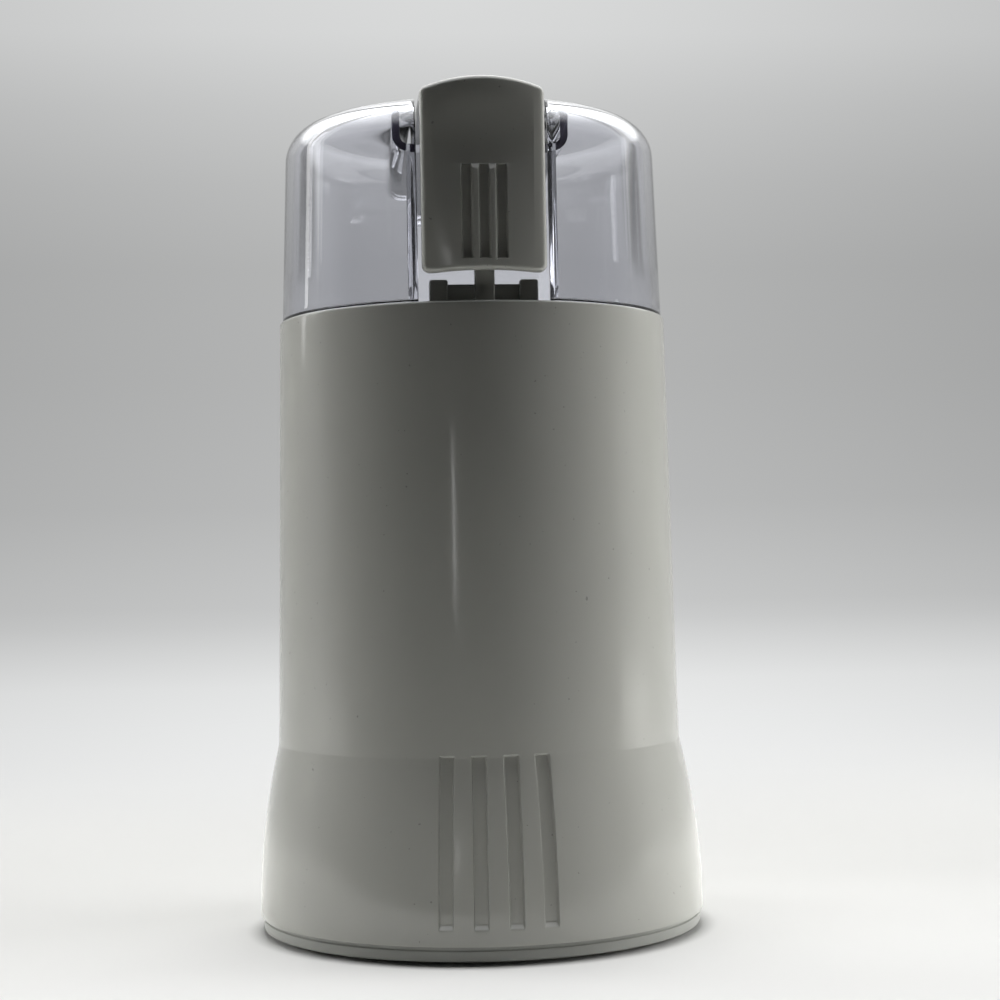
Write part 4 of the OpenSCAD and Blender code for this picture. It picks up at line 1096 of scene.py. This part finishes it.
def cutting_blade():
    """The blade: flat in the middle, with narrow tips that rise."""
    blade_z, thick, half = 105.2, 1.4, 4.5
    middle, flat, tip, tip_rise, tip_near, tip_far = 12, 21.0, 24.6, 4.6, 1.1, 3.9
    stations = [
        (-tip, tip_near, tip_far, tip_rise), (-flat, -half, half, 0), (-middle, -half, half, 0),
        (middle, -half, half, 0), (flat, -half, half, 0), (tip, -tip_far, -tip_near, tip_rise)]
    verts, faces = [], []
    for x, y0, y1, rise in stations:
        z = blade_z + rise
        verts += [(x, y0, z), (x, y1, z), (x, y1, z + thick), (x, y0, z + thick)]
    for first in range(0, len(verts) - 4, 4):
        for k in range(4):
            after = (k + 1) % 4
            faces.append((first + k, first + after, first + 4 + after, first + 4 + k))
    faces += [(3, 2, 1, 0), tuple(range(len(verts) - 4, len(verts)))]
    blade = mesh_from("cutting_blade", verts, faces, 30)
    bevel(blade, 0.18, 2, 30)
    return blade


class GRINDER_OT_bowl(bpy.types.Operator):
    """Builds the steel bowl and the blade"""

    bl_idname = "grinder.bowl"
    bl_label = "Bowl and blade"

    def execute(self, context):
        finish(steel_bowl(), FINISH["stainless"], "base", "grinding_bowl")
        finish(cutting_blade(), FINISH["stainless"], "rotor", "blade")
        return {"FINISHED"}


class GRINDER_OT_insides(bpy.types.Operator):
    """Gives every part of the frame the finish of its slot, before other pieces replace some of them"""

    bl_idname = "grinder.insides"
    bl_label = "Inside parts"

    def execute(self, context):
        slots = {part["node"]: part["material_slot"] for part in frame["record"]["subparts"]}
        for node, obj in frame["nodes"].items():
            obj.data.materials.clear()
            obj.data.materials.append(FINISH[slots[node]])
        return {"FINISHED"}


# Stage, in metres

PHOTO_PX = 1000
FOCAL_PX = 2042.2
SENSOR_MM = 36.0
CAMERA_AWAY = 0.47466
CAMERA_HEIGHT = 0.08565
CAMERA_YAW = -0.0122
CAMERA_PITCH = 0.0253
CAMERA_ROLL = -0.0183
FRONT_TURN = math.radians(4.0)

# How bright the room is on each side, and where each side's light starts and is full
ROOM_FRONT = 0.004
ROOM_BACK = 0.62
ROOM_RIGHT = 0.065
ROOM_TOP = 0.2
ROOM_SHINE = 2.4
ROOM_SEEN = 0.45
BACK_FROM = (-0.25, 0.65)
RIGHT_FROM = (0.1, 0.95)
TOP_FROM = (0.2, 0.9)
TOP_BACK_FROM = (-0.3, 0.3)
SHINE_FROM = (0.55, 0.85)

# The backdrop's brightness by height, and how much it darkens to the sides
SWEEP_HEIGHT = 2.2
BACKDROP = (
    (0.0, 0.84), (0.025, 0.77), (0.056, 0.55), (0.112, 0.46), (0.186, 0.43), (0.26, 0.43), (0.316, 0.48),
    (0.372, 0.56), (0.42, 0.655), (0.50, 0.69), (0.57, 0.75), (0.70, 2.3), (2.2, 2.3))
BACKDROP_RED = 0.99
BACKDROP_MIDDLE = 0.05
SIDES_REACH = 0.5
SIDES_DIM = 0.24
BACKDROP_FROM = (0.10, 0.42)

# Two dark upright stripes on the backdrop that only the clear plastic shows: painted dark streaks in the lid
STRIPES_MIDDLE = 0.06
STRIPES_APART = 0.218
STRIPE_SOFT = (0.02, 0.065)
STRIPES_FROM = (0.2, 0.33)
STRIPES_DIM = 0.98

# The floor's own colour, and painted light: a glow on the floor that only the camera sees, strongest in front
# of the object and kept off the contact shadow under the base
FLOOR_LIT = (0.9, 0.9, 0.88, 1)
FLOOR_SEEN = (0.58, 0.58, 0.57, 1)
FLOOR_PAINTED_LIGHT = 0.19
FLOOR_PAINTED_NEAR = 0.10
FLOOR_PAINTED_ALL = 0.03
FLOOR_FRONT_TO_BACK = (-0.07, 0.07)
NEAR_FADE = (0.06, 0.13)
CONTACT_SHADOW = (0.0505, 0.0545)


def place_camera():
    """Sets the camera to the view that was worked out from the photo."""
    yaw, pitch, roll = CAMERA_YAW, CAMERA_PITCH, CAMERA_ROLL
    ahead = Vector((-math.sin(yaw) * math.cos(pitch), math.cos(yaw) * math.cos(pitch), math.sin(pitch)))
    right = Vector((math.cos(yaw), math.sin(yaw), 0))
    up = right.cross(ahead)
    side = right * math.cos(roll) + up * math.sin(roll)
    top = up * math.cos(roll) - right * math.sin(roll)
    turn = Matrix.Rotation(-FRONT_TURN, 3, "Z")
    side, top, back = turn @ side, turn @ top, turn @ -ahead
    spot = turn @ Vector((0, -CAMERA_AWAY, CAMERA_HEIGHT))
    data = bpy.data.cameras.new("camera")
    data.sensor_width = SENSOR_MM
    data.lens = FOCAL_PX / PHOTO_PX * SENSOR_MM
    data.clip_start = 0.01
    camera = bpy.data.objects.new("camera", data)
    bpy.context.scene.collection.objects.link(camera)
    camera.matrix_world = Matrix((
        (side.x, top.x, back.x, spot.x), (side.y, top.y, back.y, spot.y),
        (side.z, top.z, back.z, spot.z), (0, 0, 0, 1)))
    bpy.context.scene.camera = camera


def sweep_material():
    """Pale floor that takes the shadow, running up into a softly shaded backdrop, with painted light on the
    floor in front that only the camera sees.
    """
    shade = Shade("sweep")
    width, depth, height = shade.axes()
    camera, glossy, clear = shade.ray("Camera"), shade.ray("Glossy"), shade.ray("Transmission")
    stops = [(z / SWEEP_HEIGHT, (v * BACKDROP_RED, v, v, 1)) for z, v in BACKDROP]
    wall = shade.node("ShaderNodeValToRGB", {"stops": stops}, {"Fac": height / SWEEP_HEIGHT})
    vignette = 1.0 - (width - BACKDROP_MIDDLE).absolute().step(0.0, SIDES_REACH) * SIDES_DIM
    # painted dark streaks: stripes on the backdrop that only rays through the clear lid see
    painted_streaks = 1.0 - ((width - STRIPES_MIDDLE).absolute() - STRIPES_APART).absolute().step(*STRIPE_SOFT)
    painted_streaks = painted_streaks * height.step(*STRIPES_FROM) * clear
    wall = shade.dim(wall, vignette * (1.0 - painted_streaks * STRIPES_DIM))
    backdrop = shade.node("ShaderNodeEmission", {}, {"Color": wall})
    floor = shade.node("ShaderNodeBsdfDiffuse", {}, {"Color": shade.mix(camera, FLOOR_LIT, FLOOR_SEEN)})
    seen = camera + glossy + clear
    turned_up = depth.step(*BACKDROP_FROM) * seen.step(0.0, 1.0)
    sweep = shade.node("ShaderNodeMixShader", {}, {0: turned_up, 1: floor, 2: backdrop})
    # painted light: a camera-only glow on the floor, stronger in front and near the object, and none right
    # under the base
    away = (width * width + depth * depth) ** 0.5
    front = 1.0 - depth.step(*FLOOR_FRONT_TO_BACK)
    painted_light = front * ((1.0 - away.step(*NEAR_FADE)) * FLOOR_PAINTED_NEAR + FLOOR_PAINTED_LIGHT) + FLOOR_PAINTED_ALL
    painted_light = painted_light * away.step(*CONTACT_SHADOW) * camera
    glow = shade.node("ShaderNodeEmission", {}, {"Color": shade.dim((1, 1, 0.99), painted_light)})
    return shade.close(shade.node("ShaderNodeAddShader", {}, {0: sweep, 1: glow}))


def make_sweep():
    """A floor that curves up into a backdrop behind the object."""
    near, far, radius, high, half = -0.15, 0.30, 0.55, SWEEP_HEIGHT, 2.6
    line = [(near, 0.0), (0.0, 0.0)] + [(y, 0.0) for y in (0.1, 0.2)]
    line += arc(far, radius, radius, -90, 0, 16)
    line += [(far + radius, high)]
    verts = [(x, y, z) for y, z in line for x in (-half, half)]
    faces = [(2 * i, 2 * i + 1, 2 * i + 3, 2 * i + 2) for i in range(len(line) - 1)]
    mesh = bpy.data.meshes.new("sweep")
    mesh.from_pydata(verts, [], faces)
    mesh.shade_smooth()
    obj = new_object("sweep", mesh)
    obj.data.materials.append(sweep_material())


def area_light(name, spot, target, size, watts, high=None, mirrored=False):
    """A lamp, square unless high is given. Glossy and clear surfaces show it only when it is mirrored."""
    data = bpy.data.lights.new(name, "AREA")
    data.energy = watts
    data.size = size
    if high:
        data.shape = "RECTANGLE"
        data.size_y = high
    light = bpy.data.objects.new(name, data)
    bpy.context.scene.collection.objects.link(light)
    direction = Vector(target) - Vector(spot)
    light.rotation_euler = direction.to_track_quat("-Z", "Y").to_euler()
    light.location = spot
    light.visible_glossy = mirrored
    light.visible_transmission = mirrored


def make_world():
    """A room that is dark in front of the object and bright behind, beside and above it."""
    world = bpy.data.worlds.new("room")
    bpy.context.scene.world = world
    shade = Shade("room", world)
    x, y, z = shade.axes()
    seen = shade.ray("Camera")
    mirrored = shade.ray("Glossy") + shade.ray("Transmission")
    behind = y.step(*BACK_FROM) * ROOM_BACK
    right = x.step(*RIGHT_FROM) * ROOM_RIGHT
    above = z.step(*TOP_FROM) * y.step(*TOP_BACK_FROM) * ROOM_TOP
    shine = z.step(*SHINE_FROM) * mirrored.step(0.0, 1.0) * ROOM_SHINE
    glow = (behind + right + above + shine + ROOM_FRONT) * (1.0 - seen) + seen * ROOM_SEEN
    shade.close(shade.node("ShaderNodeBackground", {}, {"Color": shade.dim((0.97, 0.985, 1.0), glow)}))


class GRINDER_OT_stage(bpy.types.Operator):
    """Sets the camera, the sweep, the lamps and the room"""

    bl_idname = "grinder.stage"
    bl_label = "Stage"

    def execute(self, context):
        context.scene.view_settings.view_transform = "Standard"
        place_camera()
        make_sweep()
        make_world()
        area_light("left_lamp", (-1.2, 0.72, 0.4), (0, 0, 0.08), size=0.8, watts=15)
        area_light("right_lamp", (1.3, 0.2, 0.4), (0, 0, 0.08), size=0.8, watts=15.5)
        area_light("top_lamp", (0.0, 0.2, 1.15), (0, 0, 0.1), size=0.7, watts=11)
        area_light("front_strip", (-0.42, -1.5, 0.16), (0, 0, 0.1), size=0.006, watts=0.09, high=0.15,
                   mirrored=True)
        area_light("left_strip", (-1.12, 0.66, 0.62), (0, 0, 0.1), size=0.09, watts=0.5, high=0.7,
                   mirrored=True)
        return {"FINISHED"}


class GRINDER_PT_panel(bpy.types.Panel):
    """Lists the steps that build the grinder"""

    bl_idname = "GRINDER_PT_panel"
    bl_label = "Spice grinder"
    bl_space_type = "VIEW_3D"
    bl_region_type = "UI"
    bl_category = "Grinder"

    def draw(self, context):
        for step in STEPS:
            self.layout.operator(step.bl_idname)


SETTINGS = (
    ("grinder_housing", HousingSizes),
    ("grinder_lid", LidSizes),
    ("grinder_button", ButtonSizes),
    ("grinder_finishes", Finishes),
)
STEPS = (
    GRINDER_OT_insides, GRINDER_OT_housing, GRINDER_OT_deck, GRINDER_OT_base, GRINDER_OT_lid,
    GRINDER_OT_button, GRINDER_OT_bowl, GRINDER_OT_stage)


def register():
    for name, group in SETTINGS:
        bpy.utils.register_class(group)
        setattr(bpy.types.Scene, name, bpy.props.PointerProperty(type=group))
    for step in STEPS + (GRINDER_PT_panel,):
        bpy.utils.register_class(step)


def unregister():
    for step in reversed(STEPS + (GRINDER_PT_panel,)):
        bpy.utils.unregister_class(step)
    for name, group in reversed(SETTINGS):
        delattr(bpy.types.Scene, name)
        bpy.utils.unregister_class(group)


def main():
    """Builds the pieces and the stage."""
    register()
    make_finishes()
    bpy.ops.grinder.insides()
    bpy.ops.grinder.housing()
    bpy.ops.grinder.deck()
    bpy.ops.grinder.base()
    bpy.ops.grinder.lid()
    bpy.ops.grinder.button()
    bpy.ops.grinder.bowl()
    bpy.ops.grinder.stage()


if __name__ == "__main__":
    main()
